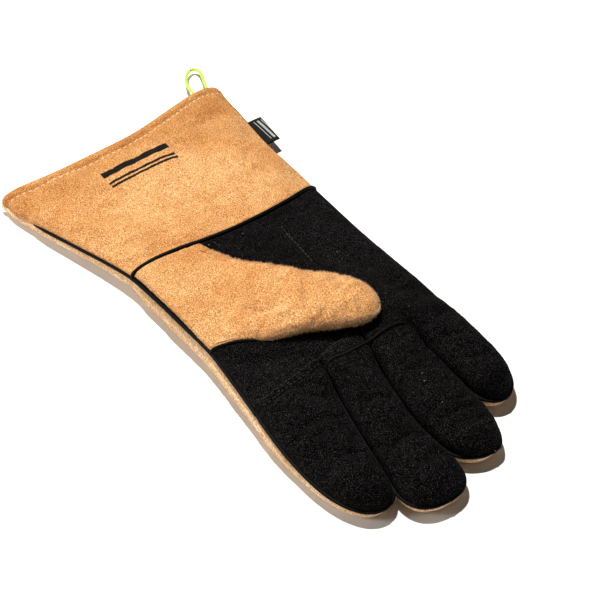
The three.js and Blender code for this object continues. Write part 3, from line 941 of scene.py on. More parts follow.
def hand_grid():
    cols = hand_columns()
    s = np.concatenate([[0, 0.004, 0.009, 0.015], np.linspace(0.022, 1, 88)])
    crotch_y = []
    for k, t in cols:
        l, r = EDGE[FINGERS[k]][0][0][1], EDGE[FINGERS[k]][1][0][1]
        crotch_y.append(l + (r - l) * t)
    crotch_y = np.array(crotch_y)
    vb = (crotch_y - crotch_y[0]) / (crotch_y[-1] - crotch_y[0])
    Wc = WRIST(vb)
    K = np.stack([np.full(len(cols), CROTCH), crotch_y], 1)
    xl = Wc[0, 0] + (CROTCH - Wc[0, 0]) * s
    xr = Wc[-1, 0] + (CROTCH - Wc[-1, 0]) * s
    Lc = np.stack([xl, SIDE_L(xl)], 1)
    Rc = np.stack([xr, SIDE_R(xr)], 1)
    Lc[0], Rc[0], Lc[-1], Rc[-1] = Wc[0], Wc[-1], K[0], K[-1]
    G = coons(Wc, K, Lc, Rc, s, vb)
    lf = np.array([t for k, t in cols])
    return s, vb, lf, G


def lobe_weight(x):
    return sstep(115, CROTCH, x)


def lobe(t, k, n):
    """Cross section of finger k: plain outside, and fuller (power n) towards its neighbours."""
    a, b = dome(t, 2.3), np.power(np.clip(1 - np.abs(2 * t - 1) ** n, 0, 1), 1 / n)
    keep = ((t < 0.5) & (k == 0)) | ((t > 0.5) & (k == 3))
    return np.where(keep, a, b)


def hand_front_grid():
    s, vb, lf, G = hand_grid()
    x = G[..., 0]
    w = lobe_weight(x)
    kf = np.array([k for k, t in hand_columns()])
    prof = (1 - w) * dome(vb, 2.6)[None, :] + w * (lobe(lf, kf, 5.5) * (0.94 + 0.06 * dome(vb, 3)))[None, :]
    zs = ZS(x, G[..., 1])
    z = zs + (ZT(x) - zs) * prof
    return s, vb, lf, G, np.concatenate([G, z[..., None]], 2)


def finger_grid(name, rows=84):
    Lc, Rc = Curve(EDGE[name][0]), Curve(EDGE[name][1])
    lv = edge_spaced(MF, 0.75)
    u = np.linspace(0, 1, rows)
    s = 1 - (1 - u) ** 1.25
    A, B = Lc(s), Rc(s)
    A[:, 0][0] = B[:, 0][0] = CROTCH
    G = A[:, None] * (1 - lv[None, :, None]) + B[:, None] * lv[None, :, None]
    tip = Lc(1.0)
    # distance to the tip along the middle
    mid = G[:, len(lv) // 2]
    d = np.concatenate([np.cumsum(np.linalg.norm(np.diff(mid, axis=0), axis=1)[::-1])[::-1], [0]])
    return s, lv, G, d


def tip_profile(d, L=17.0, n=2.2):
    k = np.clip(1 - d / L, 0, 1)
    return np.power(np.clip(1 - k ** n, 0, 1), 1 / n)


# the lapped seam across the palm on the thumb side, as its two sewn edges
SEAM_1 = [(122.6, -63.0), (125.0, -57.8), (125.5, -51.7), (124.8, -44.0), (123.7, -36.0), (122.4, -28.0), (120.7, -19.4), (118.7, -10.5), (117.2, -2.2), (115.6, 8.4), (114.4, 16.0)]
SEAM_2 = [(131.5, -61.6), (132.5, -58.0), (132.9, -53.4), (132.4, -47.3), (131.6, -41.8), (130.8, -35.4), (129.6, -27.8), (128.3, -20.8), (126.6, -14.8)]


def seam_band(x, y):
    a, b = np.array(SEAM_1), np.array(SEAM_2)
    xa = np.interp(y, a[:, 1], a[:, 0])
    xb = np.interp(y, b[:, 1], b[:, 0])
    ma, mb = sstep(15, 8, y), sstep(-13, -17, y)
    D = -1.0 * np.exp(-((x - xa) / 0.85) ** 2) * ma - 0.8 * np.exp(-((x - xb) / 0.8) ** 2) * mb
    return D + 0.6 * sstep(0.3, 1.5, x - xa) * sstep(-0.3, -1.5, x - xb) * mb


def shape_extra(P, kind):
    """Sewn seams and folds of the palm side, in mm along the normal."""
    x, y = P[..., 0], P[..., 1]
    D = np.zeros(x.shape)
    if kind == "palm":
        D += seam_band(x, y)
        # two sewn lines that run along the palm
        for y0, y1, x0, x1 in ((31.8, 29.7, 24, 62), (-10.5, -8, 2, 20)):
            yy = y0 + (y1 - y0) * np.clip((x - x0) / (x1 - x0), 0, 1)
            D -= 0.35 * np.exp(-((y - yy) / 0.8) ** 2) * sstep(x0 - 2, x0 + 4, x) * sstep(x1 + 4, x1 - 6, x)
        # fold towards the little finger
        for (cx, cy, ang, wid, ln, depth) in ((58, 46, 0.35, 7, 42, 1.6), (86, 20, -0.5, 6, 26, 1.1), (30, 58, 0.1, 8, 36, 1.2), (100, 60, 0.2, 6, 24, 1.1), (100, -46, 0.9, 6, 22, 1.2)):
            dx, dy = x - cx, y - cy
            u = dx * math.cos(ang) + dy * math.sin(ang)
            w = -dx * math.sin(ang) + dy * math.cos(ang)
            D -= depth * np.exp(-(w / wid) ** 2 - (u / ln) ** 2)
    return D


def make_hand_front():
    s, vb, lf, G, P = hand_front_grid()
    edge = np.minimum(vb, 1 - vb)[None, :] * 145.0
    dw = G[..., 0] - G[:1, :, 0]
    fade = sstep(0.5, 14, edge) * sstep(0, 10, dw) * sstep(0, 12, CROTCH + 6 - G[..., 0])
    D = wrinkle(P, 1.7, 41, (1.15, 0.85, 1)) * fade + shape_extra(P, "palm") * sstep(0.3, 5, edge)
    D -= 1.0 * np.exp(-(dw / 1.6) ** 2)
    P2, N = displaced(P, D, (60, 0, 5))
    pin = np.maximum(np.maximum(sstep(2.5, 0.5, edge) * np.ones(dw.shape), sstep(3, 1, dw)), sstep(CROTCH - 14, CROTCH - 6, G[..., 0]))
    Q = cloth(P2, pin, pressure=0.8, grow=0.018, cap=1.8, name="palm_cloth")
    Q[..., 2] = np.minimum(Q[..., 2], P2[..., 2] + 0.45)
    P2 = nap(Q, np.minimum(edge + 0 * dw, np.minimum(dw, (CROTCH - G[..., 0]) * 0.7)), 0.16, 211)
    N = grid_normals(P2)
    N = N if np.median(N[..., 2]) > 0 else -N
    return P2, N, G


def make_finger_front(name, seed):
    s, lv, G, d = finger_grid(name)
    x = G[..., 0]
    T = tip_profile(d)[:, None]
    k = FINGERS.index(name)
    full = 2.3 + 3.2 * sstep(CROTCH + 20, CROTCH, x)
    prof = lobe(lv[None, :] + 0 * x, np.full(x.shape, k), full) * T
    zs = ZS(x, G[..., 1])
    z = zs + (ZT(x) - zs) * prof
    P = np.concatenate([G, z[..., None]], 2)
    edge = np.minimum(lv, 1 - lv)[None, :] * 34
    fade = sstep(0.3, 8, edge) * sstep(0, 10, x - CROTCH) * sstep(1, 14, d)[:, None]
    D = wrinkle(P, 1.5, seed, (1.0, 0.8, 1)) * fade
    # creases across the joints
    L = Curve(EDGE[name][0])
    base, tip = CROTCH, G[-1, 0, 0]
    for f, dep in ((0.34, 0.75), (0.63, 0.55)):
        xc = base + (tip - base) * f
        D -= dep * np.exp(-((x - xc + 2.2 * np.sin(lv * 9 + seed)[None, :]) / 2.6) ** 2) * fade
    if name == "index":
        D += seam_band(x, G[..., 1]) * sstep(0.3, 3.0, edge)
    P2, N = displaced(P, D, (float(np.mean(x)), float(np.mean(G[..., 1])), 5))
    pin = np.maximum(np.maximum(sstep(1.6, 0.2, edge) * np.ones(x.shape), sstep(5, 1.5, x - CROTCH)), sstep(9, 4, d)[:, None])
    P2 = cloth(P2, pin, pressure=0.8, grow=0.03, cap=1.3, name=name + "_cloth")
    P2[:-1] = nap(P2, np.minimum(edge + 0 * x, np.minimum((x - CROTCH) * 0.7, d[:, None])), 0.15, 221 + seed)[:-1]
    N = grid_normals(P2)
    N = N if np.median(N[..., 2]) > 0 else -N
    return P2, N, G, d


def split_normals(o, pts, normals):
    """Sets custom normals on the vertices of o that lie at pts (row metres), so that two panels shade as one."""
    me = o.data
    from mathutils.kdtree import KDTree
    kd = KDTree(len(pts))
    for i, p in enumerate(pts):
        kd.insert(Vector(p), i)
    kd.balance()
    vn = [Vector(v.normal) for v in me.vertices]
    for v in me.vertices:
        co, i, dist = kd.find(v.co)
        if dist is not None and dist < 2e-6:
            vn[v.index] = Vector(normals[i])
    me.normals_split_custom_set_from_vertices(vn)


HAND_P, HAND_N, HAND_G = make_hand_front()
FINGER_DATA = {n: make_finger_front(n, 60 + 7 * i) for i, n in enumerate(FINGERS)}

# the fingers' first row is the hand's last row, so the leather runs on without a step
for i, n in enumerate(FINGERS):
    a = i * (MF - 1)
    FINGER_DATA[n][0][0] = HAND_P[-1, a:a + MF]


def finger_blend(name):
    yc = {"index": -40, "middle": 2, "ring": 33, "little": 66}[name]
    return (name, (CROTCH + 0.3, yc, 20), (CROTCH + 44, yc, 20))


def make_front_pieces():
    o = sheet_mesh("palm_panel", HAND_P, 1.6, BLACK, out=(60, 0, 5))
    done(o, "hand", ["palm_front", "palm_patch"])
    border_p, border_n = [], []
    NF = {}
    for n in FINGERS:
        P2 = FINGER_DATA[n][0]
        NF[n] = grid_normals(P2)
        if np.median(NF[n][..., 2]) < 0:
            NF[n] = -NF[n]
    for i, n in enumerate(FINGERS):
        a = i * (MF - 1)
        avg = HAND_N[-1, a:a + MF] + NF[n][0]
        avg /= np.linalg.norm(avg, axis=1, keepdims=True)
        border_p += list(W(HAND_P[-1, a:a + MF]))
        border_n += list(avg)
    split_normals(o, border_p, border_n)
    for i, n in enumerate(FINGERS):
        P2 = FINGER_DATA[n][0]
        f = sheet_mesh(n + "_front_panel", P2, 1.5, BLACK, out=(float(P2[..., 0].mean()), float(P2[..., 1].mean()), 5))
        split_normals(f, border_p, border_n)
        done(f, "hand", [n + "_front"], finger_blend(n))


make_front_pieces()


FINGER_BACKS = {}


def make_back_pieces():
    s, vb, lf, G = hand_grid()
    x = G[..., 0]
    w = lobe_weight(x)
    zs = ZS(x, G[..., 1])
    d = (1 - w) * dome(vb, 5.0)[None, :] + w * dome(lf, 3.4)[None, :]
    z = zs - (zs - 0.5) * d
    amp = np.where(vb[None, :] < 0.5, 1.2 + 2.2 * sstep(-8, 12, x), 1.2 + 0 * x)
    q = 4 * d * (1 - d) * amp * sstep(0.12, 0.03, np.minimum(vb, 1 - vb))[None, :]
    y = G[..., 1] + np.sign(vb - 0.5)[None, :] * q
    P = np.stack([x, y, z], 2)
    flat = sstep(0.25, 4.0, P[..., 2])
    P2, N = displaced(P, wrinkle(P, 1.0, 71) * flat * sstep(0, 8, CROTCH - x) , (60, 0, 12))
    P2[..., 2] = np.maximum(P2[..., 2], 0.05)
    o = sheet_mesh("hand_back_panel", P2, 1.6, TAN_EDGE, out=(60, 0, 12))
    done(o, "hand", ["hand_back"])
    for i, n in enumerate(FINGERS):
        s2, lv, G2, dd = finger_grid(n)
        x2 = G2[..., 0]
        T = tip_profile(dd, 14.0, 2.6)[:, None]
        zz = ZS(x2, G2[..., 1])
        dd2 = dome(lv, 3.4)[None, :] * T
        z2 = zz - (zz - 0.5) * dd2
        side = np.sign(lv - 0.5)[None, :]
        amp = 0.35 * sstep(0, 10, x2 - CROTCH)
        if n == "index":
            amp = np.where(lv[None, :] < 0.5, 1.2 + 2.2 * sstep(205, 150, x2), amp)
        if n == "little":
            amp = np.where(lv[None, :] > 0.5, 1.2 + 0 * x2, amp)
        P3 = np.stack([x2, G2[..., 1] + side * 4 * dd2 * (1 - dd2) * amp, z2], 2)
        flat = sstep(0.25, 4.0, P3[..., 2])
        P4, N4 = displaced(P3, wrinkle(P3, 0.8, 90 + i) * flat * sstep(0, 8, x2 - CROTCH), (float(x2.mean()), float(G2[..., 1].mean()), 12))
        P4[..., 2] = np.maximum(P4[..., 2], 0.05)
        a = i * (MF - 1)
        P4[0] = P2[-1, a:a + MF]
        FINGER_BACKS[n] = P4
        f = sheet_mesh(n + "_back_panel", P4, 1.5, TAN_EDGE, out=(float(x2.mean()), float(G2[..., 1].mean()), 12))
        done(f, "hand", [n + "_back"], finger_blend(n))
    return P2


HAND_BACK = make_back_pieces()


def make_side_nap():
    rng = np.random.RandomState(91)
    N = grid_normals(HAND_BACK)
    if np.median(N[..., 2]) > 0:
        N = -N
    nr, nc = HAND_BACK.shape[:2]
    pts, nn = [], []
    for _ in range(4200):
        i, j = rng.randint(2, nr - 2), rng.randint(1, 9)
        if rng.rand() < 0.35:
            j = nc - 2 - j
        a, b = rng.rand(), rng.rand()
        q = (HAND_BACK[i, j] * (1 - a) * (1 - b) + HAND_BACK[i + 1, j] * a * (1 - b)
             + HAND_BACK[i, j + 1] * (1 - a) * b + HAND_BACK[i + 1, j + 1] * a * b)
        if q[2] < 1.6:
            continue
        pts.append(q)
        nn.append(N[i, j])
    o = fibres("side_nap", pts, nn, TAN_EDGE, (0.6, 1.5), 0.11, seed=19)
    done(o, "hand", [])


make_side_nap()


# ------------------------------------------------------------------ welts
WR = 1.15


def make_welts():
    def side(fn, sgn, x0, x1, n=120):
        x = np.linspace(x0, x1, n)
        y = fn(x) + sgn * 0.35
        return np.stack([x, y, ZS(x, y) + 0.1], 1)
    jobs = [
        ("cuff_thumb_side_welt", side(SIDE_L, -1, -90, -7), ["cuff_welt_thumb_side"], CUFF_BLEND),
        ("cuff_little_side_welt", side(SIDE_R, 1, -118, -6.4), ["cuff_welt_little_side"], CUFF_BLEND),
        ("hand_thumb_side_welt", side(SIDE_L, -1, -7, CROTCH), ["hand_welt_thumb_side"], None),
        ("hand_little_side_welt", side(SIDE_R, 1, -6.4, CROTCH), ["hand_welt_little_side"], None),
    ]
    for name, C, nodes, bl in jobs:
        r = WR * (0.35 + 0.65 * sstep(0, 12, C[:, 0] - C[0, 0])) if name.startswith("cuff") else WR
        o = tube_mesh(name, C, r, WELT, 10)
        done(o, "hand", nodes, bl)
    for n in FINGERS:
        L, R = Curve(EDGE[n][0]), Curve(EDGE[n][1])
        t = np.linspace(0, 1, 90)
        A, B = L(t), R(t)
        C = np.vstack([A, B[::-1][1:]])
        C = resample(C, 200)
        T = np.gradient(C, axis=0)
        T /= np.linalg.norm(T, axis=1, keepdims=True)
        nrm = np.stack([-T[:, 1], T[:, 0]], 1)
        mid = C.mean(0)
        if np.median(np.sum(nrm * (C - mid), 1)) < 0:
            nrm = -nrm
        outw = 0.25 * sstep(CROTCH, CROTCH + 14, C[:, 0])
        if n in ("middle", "ring"):
            outw = outw * 0.4
        C2 = C + nrm * outw[:, None]
        P = np.concatenate([C2, (ZS(C2[:, 0], C2[:, 1]) + 0.1)[:, None]], 1)
        rad = np.where(P[:, 0] > CROTCH + 20, WR * 0.9, WR * 0.62)
        rad = WR * (0.55 + 0.35 * sstep(CROTCH, CROTCH + 30, P[:, 0]))
        if n == "index":
            rad[:100] = WR
        if n == "little":
            rad[100:] = WR
        o = tube_mesh(n + "_seam_welt", P, rad, WELT, 8)
        done(o, "hand", [n + "_welt"], finger_blend(n))
    # wrist welt, on the palm side
    v = np.linspace(0.0, 1.0, 160)
    xy = WRIST(v)
    vv = (xy[:, 1] - SIDE_L(xy[:, 0])) / (SIDE_R(xy[:, 0]) - SIDE_L(xy[:, 0]))
    zs = ZS(xy[:, 0], xy[:, 1])
    z = zs + (ZT(xy[:, 0]) - zs) * dome(np.clip(vv, 0, 1), 2.6) + 0.25
    C = np.concatenate([xy, z[:, None]], 1)
    o = tube_mesh("wrist_seam_welt", C, 1.25, WELT, 10)
    done(o, "hand", ["wrist_welt"])


make_welts()


def make_palm_details():
    # piping across the base of the two middle fingers
    pts = crom([(135.5, -15.2), (131.5, -14.4), (127.6, -11.2), (127.2, -6.6), (128.3, -2.6), (128.9, 5.4), (129.0, 13.8), (128.6, 20.6), (127.7, 27.8), (127.6, 37.4), (129.4, 43.2), (133.0, 46.2), (137.5, 48.2)], 140)
    allP = np.concatenate([HAND_P.reshape(-1, 3)] + [FINGER_DATA[k][0].reshape(-1, 3) for k in ("middle", "ring")])
    allN = np.concatenate([HAND_N.reshape(-1, 3)] + [FINGER_DATA[k][1].reshape(-1, 3) for k in ("middle", "ring")])
    C, n = on_surface(allP, allN, pts, 0.2)
    # the piping bridges the small dip where the two fingers part
    z = C[:, 2].copy()
    ya, yb = np.searchsorted(pts[:, 1] + 1e-6 * np.arange(len(pts)), (9.0, 23.0))
    z[ya:yb] = np.maximum(z[ya:yb], np.linspace(z[ya], z[yb], yb - ya) - 0.3)
    k = np.ones(7) / 7
    C[:, 2] = np.convolve(np.pad(z, 3, mode="edge"), k, mode="valid")
    o = tube_mesh("finger_base_piping", C, 0.85, WELT, 10)
    done(o, "hand", [])
    # a row of stitches inside each edge of the palm seam on the thumb side
    allP = np.concatenate([HAND_P.reshape(-1, 3), FINGER_DATA["index"][0].reshape(-1, 3)])
    allN = np.concatenate([HAND_N.reshape(-1, 3), FINGER_DATA["index"][1].reshape(-1, 3)])
    for i, (line, off) in enumerate(((SEAM_1, 1.9), (SEAM_2, -1.7))):
        p = crom(line, 90)[2:-2] + np.array([off, 0])
        C, n = on_surface(allP, allN, p, 0.03)
        st = stitch_mesh("palm_seam_stitches_%d" % (i + 1), C, n, THREAD_BLACK, length=2.6, gap=0.8, r=0.28, seed=11 + i)
        done(st, "hand", [], finger_blend("index"))
    for i, (p0, p1) in enumerate((((5.2, -10.3), (13.5, -8.8)), ((18.0, 32.6), (56.8, 29.7)), ((121.6, -12.0), (119.3, 10.4)))):
        t = np.linspace(0, 1, 40)[:, None]
        p = np.array(p0) * (1 - t) + np.array(p1) * t
        C, n = on_surface(HAND_P, HAND_N, p, 0.05)
        st = stitch_mesh("palm_stitches_%d" % (i + 1), C, n, THREAD_BLACK if i == 2 else THREAD_GREY, length=2.6, gap=0.6, r=0.24, seed=31 + i)
        done(st, "hand", [])


make_palm_details()

# ------------------------------------------------------------------ thumb
TU = Curve([(2.4, -18.6), (11, -15.8), (22, -11.6), (31, -7.8), (44, 0.2), (57, 9.2), (67, 17), (76, 25.8), (85, 33.4), (94, 38.8), (101.5, 40.6), (107.5, 40.2), (112.5, 37.6)])
TL = Curve([(75.4, -59.4), (79.6, -51.5), (83.5, -43.6), (87.5, -38), (93, -32.4), (99.5, -23.6), (105, -12.6), (110, -2), (115, 8), (119.3, 17), (120.6, 25.5), (118.2, 33), (112.5, 37.6)])
ROOT = Curve([(2.4, -18.6), (0.6, -25.5), (-2.2, -38), (-3.9, -47), (-5.1, -54.5), (-5.8, -59.5)]
             + [(x, float(SIDE_L(x)) + 0.45) for x in (-6.0, -4.2, 2.0, 20.0, 44.0)] + [(62, -60), (75.4, -59.4)])


def palm_z(x, y):
    l, r = SIDE_L(x), SIDE_R(x)
    v = np.clip((y - l) / (r - l), 0, 1)
    zs = ZS(x, y)
    return zs + (ZT(x) - zs) * dome(v, 2.6)


def thumb_rows(rows=110, cols=72):
    u = np.linspace(0, 1, rows)
    s = 1 - (1 - u) ** 1.3
    v = edge_spaced(cols, 0.7)
    A, B = TU(s), TL(s)
    R0 = ROOT(v)
    G = A[:, None] * (1 - v[None, :, None]) + B[:, None] * v[None, :, None]
    chord0 = A[0] * (1 - v[:, None]) + B[0] * v[:, None]
    k = np.power(np.clip(1 - s / 0.42, 0, 1), 1.7)
    G = G + k[:, None, None] * (R0 - chord0)[None]
    mid = G[:, cols // 2]
    d = np.concatenate([np.cumsum(np.linalg.norm(np.diff(mid, axis=0), axis=1)[::-1])[::-1], [0]])
    return s, v, G, d


THUMB_IN = []


def make_thumb():
    s, v, G, d = thumb_rows()
    x, y = G[..., 0], G[..., 1]
    pz = palm_z(x, y)
    q, _ = on_surface(HAND_P, HAND_N, np.stack([x.ravel(), y.ravel()], 1))
    k = sstep(0.75, 0.5, s)[:, None]
    pz = pz * (1 - k) + q[:, 2].reshape(x.shape) * k
    free = sstep(0.10, 0.50, s)                      # 0 sewn down, 1 lifted clear of the palm
    zu = pz[:, 0] + 0.9 + 4.2 * sstep(0.12, 0.7, s)
    zl = pz[:, -1] + 0.7 + 5.0 * sstep(0.16, 0.5, s)
    zl = np.maximum(zl, 0)
    zedge = zu[:, None] * (1 - v)[None, :] + zl[:, None] * v[None, :]
    low = pz + 0.9                                    # the base lies just over the palm side
    zbase = (1 - free)[:, None] * np.maximum(low, 0) + free[:, None] * zedge
    zbase[0] = pz[0] + 0.6
    T = tip_profile(d, 20.0, 2.1)
    H = (1.2 + 9.4 * sstep(0.06, 0.42, s)) * T
    D1 = dome(v, 2.2)[None, :] * sstep(0, 0.12, s)[:, None]
    z = zbase + H[:, None] * D1
    P = np.stack([x, y, z], 2)
    edge = np.minimum(v, 1 - v)[None, :] * 52
    fade = sstep(0.5, 9, edge) * sstep(0, 0.1, s)[:, None] * sstep(1, 16, d)[:, None]
    Dp = wrinkle(P, 1.35, 131, (0.9, 1.0, 1)) * fade
    for (cx, cy, ang, wid, ln, depth) in ((30, -38, 2.65, 7, 24, 1.5), (62, -38, 1.9, 6, 20, 1.2), (56, -14, 2.5, 7, 22, 0.9)):
        dx, dy = x - cx, y - cy
        uu = dx * math.cos(ang) + dy * math.sin(ang)
        w = -dx * math.sin(ang) + dy * math.cos(ang)
        Dp -= depth * np.exp(-(w / wid) ** 2 - (uu / ln) ** 2) * fade
    P2, N = displaced(P, Dp, (60, -20, 5))
    pin = np.maximum(np.maximum(sstep(2.0, 0.3, edge) * np.ones(x.shape), sstep(0.06, 0.02, s)[:, None]), sstep(11, 5, d)[:, None])
    P2 = cloth(P2, pin, pressure=1.0, grow=0.03, cap=2.0, name="thumb_cloth")
    P2[:-1] = nap(P2, np.minimum(edge + 0.9 + 0 * x, 0.5 + d[:, None]), 0.30, 231)[:-1]
    clear = pz + 0.8 + 0.35 * sstep(0.14, 0.03, s)[:, None] + 1.1 * sstep(0, 5, edge) * sstep(0, 0.05, s)[:, None]
    P2[:-1, :, 2] = np.maximum(P2[:-1, :, 2], clear[:-1])
    # the leather rolls under along the free edges: extra columns inside and below
    under = []
    roll = sstep(0.14, 0.34, s)
    Hb = (0.5 + 4.0 * roll) * np.maximum(T, 0.0)
    for e, (inx, dn) in enumerate(((0.35, 0.28), (1.1, 0.55), (2.3, 0.8), (4.2, 0.95), (7.0, 1.0))):
        under.append((inx, dn))
    left, right = [], []
    for inx, dn in under:
        wdt = np.linalg.norm(G[:, -1] - G[:, 0], axis=1)
        f = np.minimum(inx / np.maximum(wdt, 1e-3), 0.45)
        a = P2[:, 0] * (1 - f[:, None]) + P2[:, -1] * f[:, None]
        b = P2[:, -1] * (1 - f[:, None]) + P2[:, 0] * f[:, None]
        a = a.copy(); b = b.copy()
        a[:, 2] = P2[:, 0, 2] - Hb * dn
        b[:, 2] = P2[:, -1, 2] - Hb * dn
        left.append(a)
        right.append(b)
    P3 = np.concatenate([np.stack(left[::-1], 1), P2, np.stack(right, 1)], 1)
    P3[-1] = P3[-1].mean(0)
    o = sheet_mesh("thumb_panel", P3, 1.3, TAN_THUMB, out=(62, -22, 20))
    bl = ("thumb", (41, -39.6, 30), (57.6, -5.4, 30))
    done(o, "hand", ["thumb_back", "thumb_base"], bl)
    # grip side: black leather under the thumb, tucked into the rolled edge
    rows = np.where(s > 0.2)[0]
    gu, gv = P3[rows, 1], P3[rows, -2]
    cv = v
    Gg = gu[:, None] * (1 - cv[None, :, None]) + gv[:, None] * cv[None, :, None]
    Gg[..., 2] = Gg[..., 2] + 0.5 - 0.6 * dome(cv, 2.0)[None, :] * T[rows][:, None]
    Gg[..., 2] = np.maximum(Gg[..., 2], palm_z(Gg[..., 0], Gg[..., 1]) + 1.35 * np.minimum(1, T[rows])[:, None])
    g = sheet_mesh("thumb_grip_panel", Gg, -1.0, BLACK, out=(62, -22, 80))
    done(g, "hand", ["thumb_grip"], bl)
    keep = (d > 9) & (s > 0.30)
    THUMB_IN.append((P2[keep], Gg[keep[rows]], bl))
    # nap standing up along the thumb's outline
    rng = np.random.RandomState(77)
    pts, nn = [], []
    N3 = grid_normals(P3)
    if np.median(N3[20:60, 30:50, 2]) < 0:
        N3 = -N3
    cols = P3.shape[1]
    for _ in range(5200):
        i = rng.randint(6, len(s) - 3)
        j = rng.randint(2, 14)
        j = j if rng.rand() < 0.5 else cols - 1 - j
        a, b = rng.rand(), rng.rand()
        q = P3[i, j] * (1 - a) * (1 - b) + P3[i + 1, j] * a * (1 - b) + P3[i, j + 1 if j + 1 < cols else j] * (1 - a) * b + P3[i + 1, min(j + 1, cols - 1)] * a * b
        pts.append(q)
        nn.append(N3[i, j])
    fb = fibres("thumb_nap", pts, nn, TAN_EDGE, (0.7, 1.8), 0.11)
    done(fb, "hand", [], bl)
    # seams: black welt where the base is sewn to the palm
    C = []
    for t in np.linspace(0, 0.235, 40):
        p = TL(t)
        C.append((p[0] + 0.5, p[1] - 0.4, on_surface(HAND_P, HAND_N, [p])[0][0, 2] + 0.45))
    w = tube_mesh("thumb_base_welt", np.array(C), 1.0, WELT, 8)
    done(w, "hand", ["thumb_welt"])
    return P3


THUMB_P = make_thumb()


# ------------------------------------------------------------------ linings: padded inner layers
def ring_lining(name, front, back, inset, thick, nodes, blend, close_end=False):
    """A padded tube inside a front and a back grid of the same shape, thick mm thick."""
    nr, nc = front.shape[:2]

    def layer(t, lead=0.0):
        NF = grid_normals(front)
        NF = NF if np.median(NF[..., 2]) > 0 else -NF
        NB = grid_normals(back)
        NB = NB if np.median(NB[..., 2]) < 0 else -NB
        f = front - NF * t
        b = back - NB * t
        gap = f[..., 2] - b[..., 2]
        mid = (f + b) / 2
        bad = gap < 0.5
        f[bad] = mid[bad] + np.array([0, 0, 0.25])
        b[bad] = mid[bad] - np.array([0, 0, 0.25])
        for side in (0, -1):
            inner = (f[:, side] + b[:, side]) / 2
            f[:, side] = b[:, side] = inner
        R = np.concatenate([f, b[:, ::-1][:, 1:-1]], 1)
        if lead:
            R[-1] = R[-1] * 0.25 + R[-2] * 0.75
        return R
    A, B = layer(inset), layer(inset + thick, 1.0 if close_end else 0.0)
    m = A.shape[1]
    V = np.concatenate([A.reshape(-1, 3), B.reshape(-1, 3)])
    off = nr * m
    F = []
    for i in range(nr - 1):
        for j in range(m):
            j2 = (j + 1) % m
            a, b, c, d = i * m + j, i * m + j2, (i + 1) * m + j2, (i + 1) * m + j
            F.append((a, b, c, d))
            F.append((off + a, off + d, off + c, off + b))
    for i in ((0,) if close_end else (0, nr - 1)):
        for j in range(m):
            j2 = (j + 1) % m
            F.append((i * m + j, i * m + j2, off + i * m + j2, off + i * m + j))
    if close_end:
        V = np.vstack([V, A[-1].mean(0), B[-1].mean(0)])
        ca, cb = 2 * off, 2 * off + 1
        for j in range(m):
            j2 = (j + 1) % m
            F.append(((nr - 1) * m + j, (nr - 1) * m + j2, ca))
            F.append((off + (nr - 1) * m + j2, off + (nr - 1) * m + j, cb))
    o = make_mesh(name, V, F, LINEN, merge=2e-6)
    done(o, "hand", nodes, blend)
    return o


def make_linings():
    rows = np.r_[4:len(CUFF_FRONT):3]
    cols = np.r_[2:NV - 2:3]
    ring_lining("cuff_padding", CUFF_FRONT[rows][:, cols], CUFF_BACK[rows][:, cols], 2.0, 1.7, ["cuff_lining"], CUFF_BLEND)
    xm = HAND_P[:, HAND_P.shape[1] // 2, 0]
    rows = np.where((xm > 8) & (xm < 106))[0][::3]
    cols = np.r_[2:HAND_P.shape[1] - 2:3]
    ring_lining("hand_padding", HAND_P[rows][:, cols], HAND_BACK[rows][:, cols], 1.9, 1.7, ["palm_lining"], None)
    for n in FINGERS:
        P2, _, _, d = FINGER_DATA[n]
        rows = np.where((P2[:, MF // 2, 0] > CROTCH + 2.5) & (d > 8.5))[0][::2]
        cols = np.r_[1:MF - 1]
        ring_lining(n + "_padding", P2[rows][:, cols], FINGER_BACKS[n][rows][:, cols], 1.8, 1.5, [n + "_lining"], finger_blend(n), True)
    f, b, bl = THUMB_IN[0]
    cols = np.r_[3:f.shape[1] - 3:2]
    rows = np.r_[0:len(f):2]
    ring_lining("thumb_padding", f[rows][:, cols], b[rows][:, cols], 1.5, 1.3, ["thumb_lining"], bl, True)


make_linings()


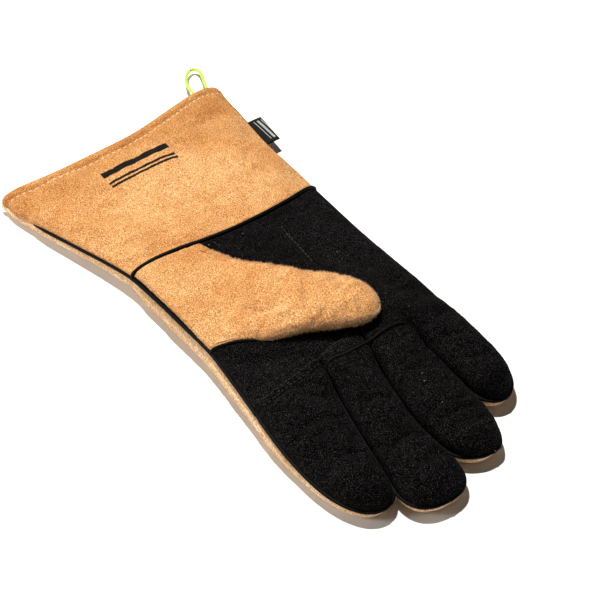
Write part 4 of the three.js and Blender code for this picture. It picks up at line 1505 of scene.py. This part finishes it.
# ------------------------------------------------------------------ label tab
def make_label():
    x0, x1 = -92.5, -66.0
    n = 14
    V, F = [], []
    m = 22
    # a folded ribbon: out from the seam, round a small fold, back to the seam
    prof = []
    out = 10.6
    for t in np.linspace(0, 1, 8):
        prof.append((0.4 + out * t, 0.55 + 0.18 * math.sin(math.pi * t)))
    for a in np.linspace(math.pi / 2, -math.pi / 2, 7)[1:-1]:
        prof.append((0.4 + out + 0.62 * math.cos(a), 0.62 * math.sin(a)))
    for t in np.linspace(1, 0, 8):
        prof.append((0.4 + out * t, -0.55 - 0.18 * math.sin(math.pi * t)))
    prof = np.array(prof)
    k = len(prof)
    inner = prof.copy()
    c = prof.mean(0)
    inner[:, 1] = np.sign(prof[:, 1]) * np.maximum(np.abs(prof[:, 1]) - 0.3, 0.02)
    inner[:, 0] = np.minimum(prof[:, 0], 0.4 + out + 0.2)
    xs = np.linspace(x0, x1, n)
    for x in xs:
        zs = float(ZS(x, 80.0)) + 0.3 * math.sin((x - x0) * 0.2)
        y0 = float(SIDE_R(x)) + 0.8
        for p in prof:
            V.append((x, y0 + p[0], zs + p[1] - 0.03 * p[0]))
        for p in inner:
            V.append((x, y0 + p[0], zs + p[1] - 0.03 * p[0]))
    V = np.array(V)
    q = 2 * k
    for i in range(n - 1):
        for j in range(k - 1):
            F.append((i * q + j, i * q + j + 1, (i + 1) * q + j + 1, (i + 1) * q + j))
            F.append((i * q + k + j, (i + 1) * q + k + j, (i + 1) * q + k + j + 1, i * q + k + j + 1))
        for j in (0, k - 1):
            F.append((i * q + j, (i + 1) * q + j, (i + 1) * q + k + j, i * q + k + j))
    for i in (0, n - 1):
        for j in range(k - 1):
            F.append((i * q + j, i * q + j + 1, i * q + k + j + 1, i * q + k + j))
    o = make_mesh("label_ribbon", V, F, RIBBON)
    done(o, "label", ["label_tab"])


make_label()

# ------------------------------------------------------------------ stage and light
def make_stage():
    m, nt, b = new_mat("paper_floor")
    co = nt.nodes.new("ShaderNodeTexCoord").outputs["Object"]
    n = noise(nt, co, 6.0, 2.0)
    nt.links.new(ramp(nt, n, [(0.3, (0.90, 0.90, 0.90, 1)), (0.7, (0.93, 0.93, 0.93, 1))]), b.inputs["Base Color"])
    b.inputs["Roughness"].default_value = 0.9
    b.inputs["Specular IOR Level"].default_value = 0.1
    me = bpy.data.meshes.new("floor")
    s = 4.0
    me.from_pydata([(-s, -s, -0.0002), (s, -s, -0.0002), (s, s, -0.0002), (-s, s, -0.0002)], [], [(0, 1, 2, 3)])
    me.materials.append(m)
    o = link(bpy.data.objects.new("floor", me))
    w = bpy.data.worlds.new("studio")
    w.use_nodes = True
    w.node_tree.nodes["Background"].inputs["Color"].default_value = (1, 1, 1, 1)
    w.node_tree.nodes["Background"].inputs["Strength"].default_value = 0.05
    bpy.context.scene.world = w

    def area(name, loc, target, size, power, col=(1, 1, 1)):
        l = bpy.data.lights.new(name, "AREA")
        l.shape, l.size = "DISK", size
        l.energy, l.color = power, col
        ob = link(bpy.data.objects.new(name, l))
        ob.location = loc
        ob.rotation_euler = (Vector(target) - Vector(loc)).to_track_quat("-Z", "Y").to_euler()
    # the key stands behind and above the glove, a little to its cuff side
    area("key", (-0.52, 0.06, 1.6), (0, 0, 0), 0.14, 44.5, (1.0, 0.985, 0.96))
    area("fill", (-0.42, -1.10, 0.56), (0, -0.02, 0.01), 0.55, 9.0, (1.0, 0.95, 0.90))


make_stage()
sc = bpy.context.scene
sc.view_settings.view_transform = "Standard"
sc.view_settings.look = "None"
sc.view_settings.exposure = 0.0
sc.view_settings.gamma = 1.0
